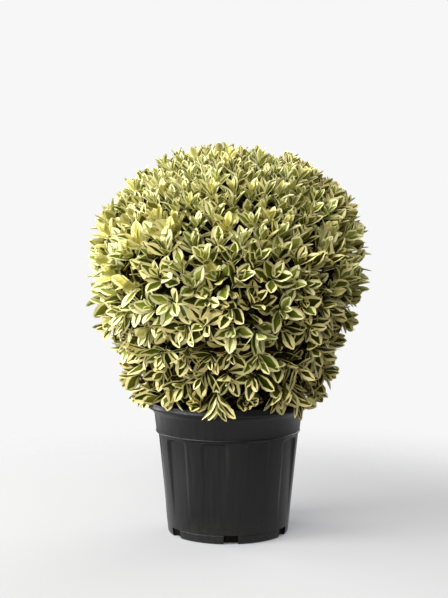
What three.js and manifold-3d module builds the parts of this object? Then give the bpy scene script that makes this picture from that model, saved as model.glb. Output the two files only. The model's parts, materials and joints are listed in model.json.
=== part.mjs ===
// A potted japanese spindle ball: a clipped evergreen shrub with cream-edged leaves in a fluted black pot.
// Millimetres, +Z up. The origin is the centre of the pot's flat underside, and -Y is the front.
// The shrub is a short stem that forks into boughs, and each bough carries one mass of foliage.
// The masses lie side by side round a hollow middle, and together they make the clipped ball.

import * as THREE from "three";
import { mergeVertices } from "three/addons/utils/BufferGeometryUtils.js";
import Module from "manifold-3d";

const wasm = await Module();
wasm.setup();

// Driving dimensions of the pot
const RIM_RADIUS = 120;
const POT_HEIGHT = 199;
const BASE_RADIUS = 89.5;
const BASE_CHAMFER = 3;
const BODY_TOP_RADIUS = 105;
const COLLAR_LOW = 151; // height of the collar's lower edge
const COLLAR_HIGH = 181; // height where the collar meets the rim
const COLLAR_LOW_RADIUS = 107;
const COLLAR_HIGH_RADIUS = 110;
const COLLAR_EDGE = 1; // half the height of the step from the body out to the collar
const RIM_SLOPE = 6; // the rim's underside rises this much on its way out
const RIM_ROUND = 3; // the rounding of the rim's edges
const WALL = 2.2;
const FLOOR = 3;
const FLUTES = 10;
const FLUTE_DEPTH = 4;
const FLUTE_LOW = 26; // the flutes fade out at this height
const FLUTE_TOP = 143; // and end in a short slope under the collar
const FLUTE_PHASE = THREE.MathUtils.degToRad(-11); // middle of one flute, from the front towards +X
const LAND_STEPS = 2; // facets of the land between two flutes, and of a flute's floor
const NOTCHES = 6;
const NOTCH_WIDTH = 21;
const NOTCH_HEIGHT = 13;
const NOTCH_DEPTH = 15;
const NOTCH_PHASE = THREE.MathUtils.degToRad(2.5);

// Driving dimensions of the shrub
const COMPOST_TOP = 184;
const COMPOST_SLOPE = 10; // the width of the slope at the compost's edge
const STEM_TIP = 300; // height of the fork where the leader goes on
const STEM_FOOT_RADIUS = 18;
const STEM_RADIUS = 11;
const STEM_TIP_RADIUS = 7;
const FLARE_SHARE = 1 / 3; // share of the stem over which its root flare dies away
const BOUGH_RADIUS = 5;
const BOUGH_TIP_RADIUS = 3.6;
const BOUGH_SHORT = 14; // a bough ends this far inside the hollow
const STEM_LEAN = new THREE.Vector3(5, -4, 0); // how far the stem's tip leans
const BALL_RADIUS = 208;
const BALL_TOP = 574;
const BELLY = 383; // height where the ball is widest
const SKIRT_RADIUS = 139; // the lowest shoots, just outside the rim
const SKIRT = 191;
const SKIRT_TIPS = 174; // the lowest leaf tips hang over the rim
const LEAF_LAYER = 55; // depth of the leaves over the cores
const BELLY_DROP = 58; // how far the sides stay upright under the belly
const DRAWN_IN = [160, 255]; // radius and height that the lower half bends towards
const HOLLOW_RADIUS = 112; // the bare middle of the shrub
const HOLLOW_TOP = 488;
const HOLLOW_MOUTH_RADIUS = 76;
const HOLLOW_MOUTH = 200;
const UPPER_MASSES = 5;
const LOWER_MASSES = 6;
const UPPER_LATITUDE = THREE.MathUtils.degToRad(24);
const LOWER_LATITUDE = THREE.MathUtils.degToRad(-28);
const UPPER_TURN = THREE.MathUtils.degToRad(10); // the first mass of each ring, from the front towards +X
const LOWER_TURN = THREE.MathUtils.degToRad(-20);
const UPPER_BOUGHS = 252; // heights where the lowest boughs of each ring leave the stem
const LOWER_BOUGHS = 216;
const BOUGH_STAGGER = 13; // every other bough leaves the stem this much higher
const UPPER_RISE = 0.42; // share of a bough's climb at its bend
const LOWER_RISE = 0.36;
const MASS_SWAY = 0.08; // radians that a mass strays from its even place

// Driving dimensions of the foliage. The leaves are larger than life, because they are fewer.
const SHOOT_SPACING = 69;
const FIRST_RING = 0.4; // shares of a ring's spacing above the first ring of shoots and below the last
const LAST_RING = 0.3;
const SKIRT_START = 0.7; // share of the outline where the skirt begins
const SKIRT_SPACING = 54; // the lowest ring of shoots is closer, to cover the rim
const SHOOT_SWAY = 0.16; // share of the spacing that a shoot strays from its even place
const SHOOT_DEPTH = 29; // from the ball's outline down to a shoot's tip
const SKIRT_SHOOT_DEPTH = 15; // and at the skirt, where the leaves hang over the rim
const LEAF_LENGTH = 57;
const LEAF_WIDTH = 28;
const LEAF_THICKNESS = 3; // from the midrib down to the line between the edges
const LEAF_SWAY = 0.08; // share of its length and its spread that a leaf differs by
const HANG_SWAY = 0.3; // radians that the skirt's hanging leaves stray from upright
const FORK_DEPTH = 18; // where a mass's stem forks into twigs, from the hollow into the core
const TWIG_RADIUS = 5;
const TWIG_RUN = 30; // a twig's last run is square to the outline
const BUD_LENGTH = 16; // the pointed end of a twig, where the leaves' roots are sunk to its middle
const PAIRS = [
  { back: 12, spread: 76, size: 1 },
  { back: 10, spread: 54, size: 0.94 },
  { back: 8, spread: 28, size: 0.74 },
]; // opposite leaves: how far behind the shoot's tip, angle from the shoot in degrees, share of the length
const SIZE_TRIES = [1, 0.85, 0.7]; // a leaf with no room is smaller,
const SPREAD_TRIES = [1, 1.2, 0.8, 0.65, 0.5, 0.35]; // or stands wider or closer, or else is left out
const OVERREACH = 6; // how far a leaf's tip may pass the outline

const CLEARANCE = 0.3; // between a piece and what carries it
const RIM_CLEARANCE = 2.5; // between the leaves and the pot's rim
const MASS_GAP = 3; // between neighbouring masses
const SEED = 11;

// How finely the faceted solids are divided
const COMPOST_SEGMENTS = 20;
const STEM_SIDES = 10;
const STEM_STEPS = 6;
const BOUGH_SIDES = 6;
const BOUGH_STEPS = 4;
const MASS_STEM_SIDES = 5;
const MASS_STEM_STEPS = 3;
const TWIG_SIDES = 3;
const CORE_SEGMENTS = 20;
const CORE_STEPS = 7;
const HOLLOW_SEGMENTS = 16;
const HOLLOW_STEPS = 5;
const OUTLINE_SAMPLES = 160;
const HOLLOW_SAMPLES = 60;

const UP = new THREE.Vector3(0, 0, 1);
const BALL_MIDDLE = new THREE.Vector3(0, 0, BELLY);

const MATERIALS = {
  pot: new THREE.MeshStandardMaterial({ color: 0x2b2b2b, roughness: 0.55, metalness: 0 }),
  compost: new THREE.MeshStandardMaterial({ color: 0x2a1d14, roughness: 1, metalness: 0 }),
  bark: new THREE.MeshStandardMaterial({ color: 0x6b5a42, roughness: 0.9, metalness: 0 }),
  foliage: new THREE.MeshStandardMaterial({ color: 0xb9b46c, roughness: 0.6, metalness: 0 }),
};

// A repeatable source of numbers from 0 to 1 (a 32-bit mixing generator).
function seededRandom(seed) {
  let state = seed >>> 0;
  return () => {
    state = (state + 0x6d2b79f5) >>> 0;
    let mixed = Math.imul(state ^ (state >>> 15), state | 1);
    mixed ^= mixed + Math.imul(mixed ^ (mixed >>> 7), mixed | 61);
    return ((mixed ^ (mixed >>> 14)) >>> 0) / 4294967296;
  };
}

const random = seededRandom(SEED);
const jitter = (reach) => (2 * random() - 1) * reach;

// Solids and geometries

function toSolid(geometry) {
  const bare = geometry.clone();
  bare.deleteAttribute("normal");
  bare.deleteAttribute("uv");
  const merged = mergeVertices(bare);
  return new wasm.Manifold(
    new wasm.Mesh({
      numProp: 3,
      vertProperties: new Float32Array(merged.attributes.position.array),
      triVerts: new Uint32Array(merged.index.array),
    }),
  );
}

function toGeometry(solid) {
  const { vertProperties, triVerts } = solid.getMesh();
  const geometry = new THREE.BufferGeometry();
  geometry.setAttribute("position", new THREE.BufferAttribute(vertProperties, 3));
  geometry.setIndex(new THREE.BufferAttribute(triVerts, 1));
  geometry.computeVertexNormals();
  return geometry;
}

// The main body of a fused solid, without loose scraps or sealed hollows.
function mainBody(solid) {
  return solid.decompose().reduce((best, body) => (body.volume() > best.volume() ? body : best));
}

function node(name, solid, material) {
  const mesh = new THREE.Mesh(toGeometry(solid), material);
  mesh.name = name;
  return mesh;
}

// A solid of revolution about Z from [radius, height] points. Angle 0 is the front and grows towards +X.
function turned(profile, segments, phase = 0) {
  const points = profile.map(([radius, height]) => new THREE.Vector2(radius, height));
  return new THREE.LatheGeometry(points, segments, phase).rotateX(Math.PI / 2);
}

// A limb along a curve: a closed cylinder bent to the curve, with a radius that follows it and flat ends.
function limb(spine, radiusAt, sides, steps) {
  const geometry = new THREE.CylinderGeometry(1, 1, 1, sides, steps);
  const frames = spine.computeFrenetFrames(steps);
  const place = geometry.attributes.position;
  for (let i = 0; i < place.count; i++) {
    const along = place.getY(i) + 0.5;
    const step = Math.round(along * steps);
    const radius = radiusAt(along);
    const point = spine
      .getPointAt(along)
      .addScaledVector(frames.binormals[step], radius * place.getX(i))
      .addScaledVector(frames.normals[step], radius * place.getZ(i));
    place.setXYZ(i, point.x, point.y, point.z);
  }
  return toSolid(geometry);
}

const taper = (from, to) => (along) => THREE.MathUtils.lerp(from, to, along);

// The pot

// How far the flutes press the wall in at a height: deepest under the collar, fading out downwards.
function fluteDepth(height) {
  if (height >= COLLAR_LOW) return 0;
  if (height > FLUTE_TOP) return (FLUTE_DEPTH * (COLLAR_LOW - height)) / (COLLAR_LOW - FLUTE_TOP);
  return FLUTE_DEPTH * THREE.MathUtils.clamp((height - FLUTE_LOW) / (FLUTE_TOP - FLUTE_LOW), 0, 1);
}

const bodyRadius = (height) => THREE.MathUtils.mapLinear(height, 0, COLLAR_LOW, BASE_RADIUS, BODY_TOP_RADIUS);

function potShell() {
  const fluteHeights = [FLUTE_LOW, FLUTE_TOP, COLLAR_LOW - COLLAR_EDGE];
  const outside = fluteHeights.map((height) => [bodyRadius(height), height]);
  const inside = outside.map(([radius, height]) => [radius - WALL, height]).reverse();
  const profile = [
    [0, 0],
    [BASE_RADIUS - BASE_CHAMFER, 0],
    [bodyRadius(BASE_CHAMFER), BASE_CHAMFER],
    ...outside,
    [COLLAR_LOW_RADIUS, COLLAR_LOW + COLLAR_EDGE],
    [COLLAR_HIGH_RADIUS, COLLAR_HIGH],
    [RIM_RADIUS - RIM_ROUND, COLLAR_HIGH + RIM_SLOPE],
    [RIM_RADIUS, COLLAR_HIGH + RIM_SLOPE + RIM_ROUND],
    [RIM_RADIUS, POT_HEIGHT - RIM_ROUND],
    [RIM_RADIUS - RIM_ROUND, POT_HEIGHT],
    [COLLAR_HIGH_RADIUS, POT_HEIGHT],
    [COLLAR_HIGH_RADIUS - WALL, COLLAR_HIGH],
    ...inside,
    [bodyRadius(FLOOR) - WALL, FLOOR],
    [0, FLOOR],
  ];
  const period = 2 * (LAND_STEPS + 1); // land, slope, flute floor and slope back
  const fluteMiddle = LAND_STEPS + 1 + LAND_STEPS / 2;
  const phase = FLUTE_PHASE - (fluteMiddle * 2 * Math.PI) / (FLUTES * period);
  const geometry = turned(profile, FLUTES * period, phase);
  const place = geometry.attributes.position;
  for (let i = 0; i < place.count; i++) {
    const column = Math.floor(i / profile.length) % period;
    const [radius, height] = profile[i % profile.length];
    if (column <= LAND_STEPS || radius === 0) continue;
    const pressed = (radius - fluteDepth(height)) / radius;
    place.setXY(i, place.getX(i) * pressed, place.getY(i) * pressed);
  }
  return toSolid(geometry);
}

// Drainage notches through the wall and the floor's edge.
function notch(angle) {
  const box = new THREE.BoxGeometry(NOTCH_WIDTH, 2 * NOTCH_DEPTH, 2 * NOTCH_HEIGHT);
  return toSolid(box.translate(0, -BASE_RADIUS, 0).rotateZ(angle));
}

function pot() {
  const notches = Array.from({ length: NOTCHES }, (_, i) => notch(NOTCH_PHASE + (i * 2 * Math.PI) / NOTCHES));
  return potShell().subtract(wasm.Manifold.union(notches));
}

// Compost fills the pot up to a flat top, clear of the wall's flutes.
function compost() {
  const heights = [FLOOR + CLEARANCE, FLUTE_LOW, FLUTE_TOP, COLLAR_HIGH];
  const clear = WALL + 2 * CLEARANCE;
  const side = heights.map((height) => [bodyRadius(height) - clear - fluteDepth(height), height]);
  const edge = side.at(-1)[0] - COMPOST_SLOPE;
  const profile = [[0, FLOOR + CLEARANCE], ...side, [edge, COMPOST_TOP], [0, COMPOST_TOP]];
  return toSolid(turned(profile, COMPOST_SEGMENTS));
}

// The stem and the boughs

const stemFoot = new THREE.Vector3(0, 0, COMPOST_TOP + CLEARANCE);
const stemTip = new THREE.Vector3(STEM_LEAN.x, STEM_LEAN.y, STEM_TIP);
const stemSpine = new THREE.QuadraticBezierCurve3(
  stemFoot,
  new THREE.Vector3(0, 0, (COMPOST_TOP + STEM_TIP) / 2),
  stemTip,
);

// The stem tapers, with a root flare at its foot.
function stemRadius(along) {
  const flare = (STEM_FOOT_RADIUS - STEM_RADIUS) * Math.max(0, 1 - along / FLARE_SHARE) ** 2;
  return THREE.MathUtils.lerp(STEM_RADIUS, STEM_TIP_RADIUS, along) + flare;
}

const stem = (swell = 0) => limb(stemSpine, (along) => stemRadius(along) + swell, STEM_SIDES, STEM_STEPS);

function pointOnStem(height) {
  return stemSpine.getPointAt((height - stemFoot.z) / (STEM_TIP - stemFoot.z));
}

function direction(latitude, angle) {
  const level = Math.cos(latitude);
  return new THREE.Vector3(level * Math.sin(angle), -level * Math.cos(angle), Math.sin(latitude));
}

// Where the foliage masses sit round the ball, and how each one's bough leaves the stem.
function massPlan() {
  const ring = (row, count, latitude, turn, low, rise) =>
    Array.from({ length: count }, (_, i) => ({
      name: `${row}_${i + 1}`,
      towards: direction(latitude + jitter(MASS_SWAY), turn + (i * 2 * Math.PI) / count + jitter(MASS_SWAY)),
      leavesAt: low + (i % 2) * BOUGH_STAGGER,
      rise,
    }));
  return [
    { name: "top", towards: direction(Math.PI / 2 - MASS_SWAY, 0) },
    ...ring("upper", UPPER_MASSES, UPPER_LATITUDE, UPPER_TURN, UPPER_BOUGHS, UPPER_RISE),
    ...ring("lower", LOWER_MASSES, LOWER_LATITUDE, LOWER_TURN, LOWER_BOUGHS, LOWER_RISE),
  ];
}

// The hollow's outline, from its top down to its mouth.
const hollowSide = new THREE.Path();
hollowSide.moveTo(0, HOLLOW_TOP);
hollowSide.absellipse(0, BELLY, HOLLOW_RADIUS, HOLLOW_TOP - BELLY, Math.PI / 2, 0, true);
hollowSide.lineTo(HOLLOW_MOUTH_RADIUS, HOLLOW_MOUTH);
const hollowPoints = hollowSide.getSpacedPoints(HOLLOW_SAMPLES);

// How far the hollow reaches from the ball's middle in a direction.
function hollowReach(towards) {
  const latitude = Math.atan2(towards.z, Math.hypot(towards.x, towards.y));
  const miss = (point) => Math.abs(Math.atan2(point.y - BELLY, point.x) - latitude);
  const nearest = hollowPoints.reduce((best, point) => (miss(point) < miss(best) ? point : best));
  return Math.hypot(nearest.x, nearest.y - BELLY);
}

// A bough bends outwards from the stem and ends just inside the hollow, pointing at its mass.
// The top mass's bough is the leader, which goes straight on from the stem's tip.
function boughSpine(mass) {
  const end = BALL_MIDDLE.clone().addScaledVector(mass.towards, hollowReach(mass.towards) - BOUGH_SHORT);
  if (mass.leavesAt === undefined) {
    const onwards = stemSpine.getTangentAt(1);
    const start = stemTip.clone().addScaledVector(onwards, CLEARANCE);
    const bend = start.clone().addScaledVector(onwards, (end.z - start.z) / 2);
    return new THREE.QuadraticBezierCurve3(start, bend, end);
  }
  const start = pointOnStem(mass.leavesAt);
  const bend = start.clone().lerp(end, 0.5).setZ(THREE.MathUtils.lerp(start.z, end.z, mass.rise));
  return new THREE.QuadraticBezierCurve3(start, bend, end);
}

function bough(mass) {
  const isLeader = mass.leavesAt === undefined;
  const radiusAt = taper(isLeader ? STEM_TIP_RADIUS : BOUGH_RADIUS, BOUGH_TIP_RADIUS);
  const whole = limb(mass.spine, radiusAt, BOUGH_SIDES, BOUGH_STEPS);
  return isLeader ? whole : mainBody(whole.subtract(stem(CLEARANCE)));
}

// The foliage

// The ball's outline from its top to the skirt over the rim: round above, drawn in below.
const outline = new THREE.Path();
outline.moveTo(0, BALL_TOP);
outline.absellipse(0, BELLY, BALL_RADIUS, BALL_TOP - BELLY, Math.PI / 2, 0, true);
outline.bezierCurveTo(BALL_RADIUS, BELLY - BELLY_DROP, ...DRAWN_IN, SKIRT_RADIUS, SKIRT);
const outlinePoints = outline.getSpacedPoints(OUTLINE_SAMPLES);

function outlineNormal(share) {
  const tangent = outline.getTangentAt(share);
  return new THREE.Vector2(-tangent.y, tangent.x);
}

// The outline's half width at a height, 0 above the top and the skirt's below it.
function halfWidth(height) {
  const below = outlinePoints.findIndex((point) => point.y <= height);
  if (below === 0) return 0;
  if (below < 0) return SKIRT_RADIUS;
  const [high, low] = [outlinePoints[below - 1], outlinePoints[below]];
  return THREE.MathUtils.mapLinear(height, high.y, low.y, high.x, low.x);
}

// Shoots stand in rings on the outline, evenly spaced along it and round it.
function shootPlan() {
  const length = outline.getLength();
  const rings = Math.round(length / SHOOT_SPACING);
  const shoots = [];
  for (let ring = 0; ring < rings; ring++) {
    const share = (ring + FIRST_RING) / (rings - 1 + FIRST_RING + LAST_RING);
    const point = outline.getPointAt(share);
    const normal = outlineNormal(share);
    const skirt = THREE.MathUtils.smoothstep(share, SKIRT_START, 1);
    const depth = THREE.MathUtils.lerp(SHOOT_DEPTH, SKIRT_SHOOT_DEPTH, skirt);
    const spacing = THREE.MathUtils.lerp(SHOOT_SPACING, SKIRT_SPACING, skirt);
    const count = Math.max(3, Math.round((2 * Math.PI * point.x) / spacing));
    const offset = random() * Math.PI;
    for (let i = 0; i < count; i++) {
      const angle = offset + ((i + jitter(SHOOT_SWAY)) * 2 * Math.PI) / count;
      const outwards = new THREE.Vector3(normal.x * Math.sin(angle), -normal.x * Math.cos(angle), normal.y);
      const onOutline = new THREE.Vector3(point.x * Math.sin(angle), -point.x * Math.cos(angle), point.y);
      const tip = onOutline.addScaledVector(outwards, -depth * (1 + jitter(LEAF_SWAY)));
      shoots.push({ outwards, tip, hangs: ring === rings - 1 });
    }
  }
  return shoots;
}

// A mass's own space is the part of the ball nearer to its direction than to any other mass's.
function walls(mass, masses) {
  return masses
    .filter((other) => other !== mass)
    .map((other) => new THREE.Plane().setFromNormalAndCoplanarPoint(
      mass.towards.clone().sub(other.towards).normalize(),
      BALL_MIDDLE,
    ));
}

const deepest = (space, point) => Math.min(...space.map((wall) => wall.distanceToPoint(point)));

// A point of a leaf is free inside its space and the ball's outline, and clear of the pot.
function isFree(space, point) {
  const radius = Math.hypot(point.x, point.y);
  if (deepest(space, point) < MASS_GAP / 2) return false;
  if (radius > halfWidth(point.z) + OVERREACH || point.z > BALL_TOP) return false;
  const overRim = point.z > POT_HEIGHT + RIM_CLEARANCE;
  return overRim || (radius > RIM_RADIUS + RIM_CLEARANCE && point.z > SKIRT_TIPS);
}

// One leaf: a slim wedge of four faces, with its midrib from the root along +X and its edges lower.
function leaf(size) {
  const geometry = new THREE.TetrahedronGeometry(1, 0);
  const length = LEAF_LENGTH * size;
  const place = geometry.attributes.position;
  for (let i = 0; i < place.count; i++) {
    const onMidrib = place.getZ(i) > 0;
    if (onMidrib) place.setXYZ(i, place.getX(i) > 0 ? length : 0, 0, 0);
    else place.setXYZ(i, 0.5 * length, Math.sign(place.getY(i)) * 0.5 * LEAF_WIDTH * size, -LEAF_THICKNESS);
  }
  return geometry;
}

const crosses = (solid, others) => others.some((other) => !solid.intersect(other).isEmpty());

// A leaf at its place on a shoot.
function leafOnShoot(shoot, back, side, spread, size) {
  const root = shoot.tip.clone().addScaledVector(shoot.along, -back);
  const length = shoot.along.clone().multiplyScalar(Math.cos(spread)).addScaledVector(side, Math.sin(spread));
  const face = shoot.along.clone().multiplyScalar(Math.sin(spread)).addScaledVector(side, -Math.cos(spread));
  const matrix = new THREE.Matrix4().makeBasis(length, face.clone().cross(length), face).setPosition(root);
  return leaf(size).applyMatrix4(matrix);
}

// The corners of a leaf and a few points between its corners and their middle.
function leafPoints(geometry) {
  const place = geometry.attributes.position;
  const corners = [];
  for (let i = 0; i < place.count; i++) corners.push(new THREE.Vector3().fromBufferAttribute(place, i));
  const middle = new THREE.Vector3();
  for (const corner of corners) middle.addScaledVector(corner, 1 / corners.length);
  return [middle, ...corners, ...corners.map((corner) => corner.clone().lerp(middle, 0.5))];
}

// A leaf with room for it, or null where it has none at any size and spread.
function placedLeaf(shoot, space, pair, turn, neighbours) {
  const side = shoot.side.clone().applyAxisAngle(shoot.along, turn);
  const size = pair.size * (1 + jitter(LEAF_SWAY));
  const spread = THREE.MathUtils.degToRad(pair.spread) * (1 + jitter(LEAF_SWAY));
  for (const sizeTry of SIZE_TRIES) {
    for (const spreadTry of SPREAD_TRIES) {
      const geometry = leafOnShoot(shoot, pair.back, side, spread * spreadTry, size * sizeTry);
      if (!leafPoints(geometry).every((point) => isFree(space, point))) continue;
      const solid = toSolid(geometry);
      if (!crosses(solid, neighbours)) return solid;
    }
  }
  return null;
}

// A twig from the mass's fork to a shoot's tip, with opposite pairs of leaves, each pair a quarter turn on.
function shootSolids(shoot, fork, space, neighbours) {
  const bend = shoot.tip.clone().addScaledVector(shoot.outwards, -TWIG_RUN);
  const spine = new THREE.QuadraticBezierCurve3(fork, bend, shoot.tip);
  const steps = Math.round(spine.getLength() / BUD_LENGTH);
  shoot.along = shoot.tip.clone().sub(spine.getPointAt((steps - 1) / steps)).normalize();
  shoot.side = new THREE.Vector3().crossVectors(shoot.along, UP).normalize();
  const twist = shoot.hangs ? Math.PI / 2 + jitter(HANG_SWAY) : random() * Math.PI;
  const twig = limb(spine, (along) => (along < 1 ? TWIG_RADIUS : 0), TWIG_SIDES, steps);
  const leaves = [];
  PAIRS.forEach((pair, level) => {
    for (const half of [0, Math.PI]) {
      const placed = placedLeaf(shoot, space, pair, twist + half + (level * Math.PI) / 2, neighbours);
      if (placed) leaves.push(placed);
    }
  });
  return { twig, leaves };
}

// The clipped ball under the leaves, as a thick shell round the hollow.
function coreShell() {
  const outside = Array.from({ length: CORE_STEPS + 1 }, (_, i) => {
    const point = outline.getPointAt(i / CORE_STEPS);
    const inset = outlineNormal(i / CORE_STEPS).multiplyScalar(-LEAF_LAYER);
    return [i === 0 ? 0 : point.x + inset.x, point.y + inset.y];
  }).reverse();
  const inside = hollowSide.getSpacedPoints(HOLLOW_STEPS).map(({ x, y }) => [x, y]);
  inside[0][0] = 0;
  const below = SKIRT - LEAF_LAYER;
  const hollow = [[0, below], [HOLLOW_MOUTH_RADIUS, below], ...inside.reverse()];
  const whole = toSolid(turned([[0, outside[0][1]], ...outside], CORE_SEGMENTS));
  return whole.subtract(toSolid(turned(hollow, HOLLOW_SEGMENTS)));
}

// One mass: its share of the core, a stem that meets the bough's tip, and the shoots of its own space.
function foliage(mass, masses, shell, shoots) {
  const space = walls(mass, masses);
  const core = space.reduce(
    (solid, wall) => solid.trimByPlane(wall.normal.toArray(), MASS_GAP / 2 - wall.constant),
    shell,
  );
  const away = mass.spine.getTangentAt(1);
  const foot = mass.spine.getPointAt(1).addScaledVector(away, CLEARANCE);
  const fork = BALL_MIDDLE.clone().addScaledVector(mass.towards, hollowReach(mass.towards) + FORK_DEPTH);
  const bend = foot.clone().addScaledVector(away, FORK_DEPTH / 2);
  const run = new THREE.QuadraticBezierCurve3(foot, bend, fork);
  const solids = [core, limb(run, () => BOUGH_TIP_RADIUS, MASS_STEM_SIDES, MASS_STEM_STEPS)];
  const leaves = [];
  for (const shoot of shoots) {
    if (deepest(space, shoot.tip) < 0) continue;
    for (const wall of space) {
      const short = 2 * TWIG_RADIUS + MASS_GAP / 2 - wall.distanceToPoint(shoot.tip);
      if (short > 0) shoot.tip.addScaledVector(wall.normal, short);
    }
    const grown = shootSolids(shoot, fork, space, leaves);
    solids.push(grown.twig);
    leaves.push(...grown.leaves);
  }
  return mainBody(wasm.Manifold.union([...solids, ...leaves]));
}

const masses = massPlan();
for (const mass of masses) mass.spine = boughSpine(mass);
const shell = coreShell();
const shoots = shootPlan();

const plant = new THREE.Group();
plant.add(node("pot", pot(), MATERIALS.pot));
plant.add(node("compost", compost(), MATERIALS.compost));
plant.add(node("stem", stem(), MATERIALS.bark));
for (const mass of masses) plant.add(node(`bough_${mass.name}`, bough(mass), MATERIALS.bark));
for (const mass of masses) {
  plant.add(node(`foliage_${mass.name}`, foliage(mass, masses, shell, shoots), MATERIALS.foliage));
}

export default plant;
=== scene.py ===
# A potted japanese spindle ball, dressed for rendering: pot, compost, bark, twigs and leaves.
# Metres, +Z up, and -Y is the front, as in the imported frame.
# The shrub grows by the rule of its solids: a stem forks into boughs, each bough carries one mass,
# and a mass's twigs end in shoots with opposite pairs of leaves. Here the rule goes on to finer twigs.

import json
import math

import bmesh
import bpy
import numpy as np
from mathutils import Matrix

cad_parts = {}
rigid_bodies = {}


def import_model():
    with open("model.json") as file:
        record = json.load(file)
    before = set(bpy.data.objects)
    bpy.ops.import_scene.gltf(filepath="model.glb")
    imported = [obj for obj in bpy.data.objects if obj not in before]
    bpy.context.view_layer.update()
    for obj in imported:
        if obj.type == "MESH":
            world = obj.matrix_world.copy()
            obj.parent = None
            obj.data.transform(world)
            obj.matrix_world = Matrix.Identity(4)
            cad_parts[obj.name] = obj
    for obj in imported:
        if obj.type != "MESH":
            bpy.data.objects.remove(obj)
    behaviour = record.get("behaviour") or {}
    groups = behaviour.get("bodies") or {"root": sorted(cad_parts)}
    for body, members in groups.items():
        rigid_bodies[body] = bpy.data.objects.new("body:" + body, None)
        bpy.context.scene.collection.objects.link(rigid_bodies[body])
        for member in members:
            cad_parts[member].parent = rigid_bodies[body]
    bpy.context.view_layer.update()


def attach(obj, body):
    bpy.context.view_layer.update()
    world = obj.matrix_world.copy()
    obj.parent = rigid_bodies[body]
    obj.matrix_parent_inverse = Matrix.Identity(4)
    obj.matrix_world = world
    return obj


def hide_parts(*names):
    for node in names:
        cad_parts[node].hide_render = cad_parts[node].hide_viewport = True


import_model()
scene = bpy.context.scene

# The pot
RIM_RADIUS = 0.120
POT_HEIGHT = 0.199
BASE_RADIUS = 0.0895
BASE_ROUND = 0.003
BODY_TOP_RADIUS = 0.105
COLLAR_LOW = 0.151
COLLAR_HIGH = 0.181
COLLAR_LOW_RADIUS = 0.107
COLLAR_HIGH_RADIUS = 0.110
COLLAR_ROUND = 0.0014
COLLAR_BEAD = 0.0007  # a bead round the collar's lower edge
RIM_SLOPE = 0.006
RIM_ROUND = 0.003
RIM_BEAD = 0.0005  # a fine bead round the rim's lower edge
WALL = 0.0022
FLOOR = 0.003
FLUTES = 10
FLUTE_DEPTH = 0.004
FLUTE_LOW = 0.026
FLUTE_TOP = 0.1475
FLUTE_END = (-0.003, 0.0015)  # where the flutes run out, from their top
FLUTE_CORNER = 0.008  # the flutes' upper corners are rounded
FLUTE_PHASE = math.radians(-11)
FLUTE_HALF = math.radians(11.5)
FLUTE_SLOPE = math.radians(2.8)
MOULD_LINE = 0.013  # a fine line round the foot, left by the mould
MOULD_LINE_DEPTH = 0.0004
MOULD_LINE_WIDTH = 0.0006
MOULD_LINE_ROWS = 7
NOTCHES = 6
NOTCH_WIDTH = 0.021
NOTCH_HEIGHT = 0.013
NOTCH_DEPTH = 0.015
NOTCH_PHASE = math.radians(2.5)
POT_COLUMNS = 360
POT_ROW = 0.003
COLLAR_ROWS = 16  # of the wall just under the collar
SHARP_EDGE = math.radians(40)

# The compost and its crumbs
COMPOST_TOP = 0.184
COMPOST_EDGE = 0.095
COMPOST_BEVEL = 0.004
COMPOST_MIDDLE = 0.004  # the radius of the innermost ring
COMPOST_CRUST = 0.001  # the rough top layer, where crumbs lie
COMPOST_RELIEF = 0.003
COMPOST_COLUMNS = 120
COMPOST_SIDE_ROWS = 24
COMPOST_TOP_ROWS = 30
CRUMB_SIZE = 0.0035
CRUMB_SCALES = (0.4, 1.5)
CRUMBS_PER_M2 = 60000
CRUMB_BED_SIDES = 48
CRUMB_KINDS = 6
ROUND_KINDS = 4  # the other kinds are slivers
ROUND_STRETCH = (0.7, 1.2)
SLIVER_STRETCH = np.array([2.6, 0.8, 0.4])
CRUMB_DENTS = (0.75, 1.2)

# The stem, the boughs and the hollow middle
CLEARANCE = 0.0003
STEM_TIP = 0.300
STEM_FOOT_RADIUS = 0.018
STEM_RADIUS = 0.011
STEM_TIP_RADIUS = 0.007
FLARE_SHARE = 1 / 3
STEM_LEAN = np.array([0.005, -0.004])
BOUGH_RADIUS = 0.005
BOUGH_TIP_RADIUS = 0.0036
BOUGH_SHORT = 0.014
BOUGH_STAGGER = 0.013
HOLLOW_RADIUS = 0.112
HOLLOW_TOP = 0.488
HOLLOW_MOUTH_RADIUS = 0.076
HOLLOW_MOUTH = 0.200
FORK_DEPTH = 0.018
LIMB_STEP = 0.003
FEWEST_STEPS = 4
LIMB_SIDES = 20
BARK_RELIEF = 0.0009
BARK_RIDGES = 260.0  # the scale of the relief
BARK_STRETCH = (1.0, 1.0, 0.3)

# The ball's outline and its masses
BALL_RADIUS = 0.208
BALL_TOP = 0.574
BELLY = 0.383
SKIRT_RADIUS = 0.139
SKIRT = 0.191
SKIRT_TIPS = 0.174
BELLY_DROP = 0.058
DRAWN_IN = (0.160, 0.255)
OUTLINE_SAMPLES = 400
MASS_SWAY = 0.08
MASS_SEED = 11
MASS_RINGS = (
    {"row": "upper", "count": 5, "latitude": 24, "turn": 10, "low": 0.252, "rise": 0.42},
    {"row": "lower", "count": 6, "latitude": -28, "turn": -20, "low": 0.216, "rise": 0.36},
)

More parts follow.
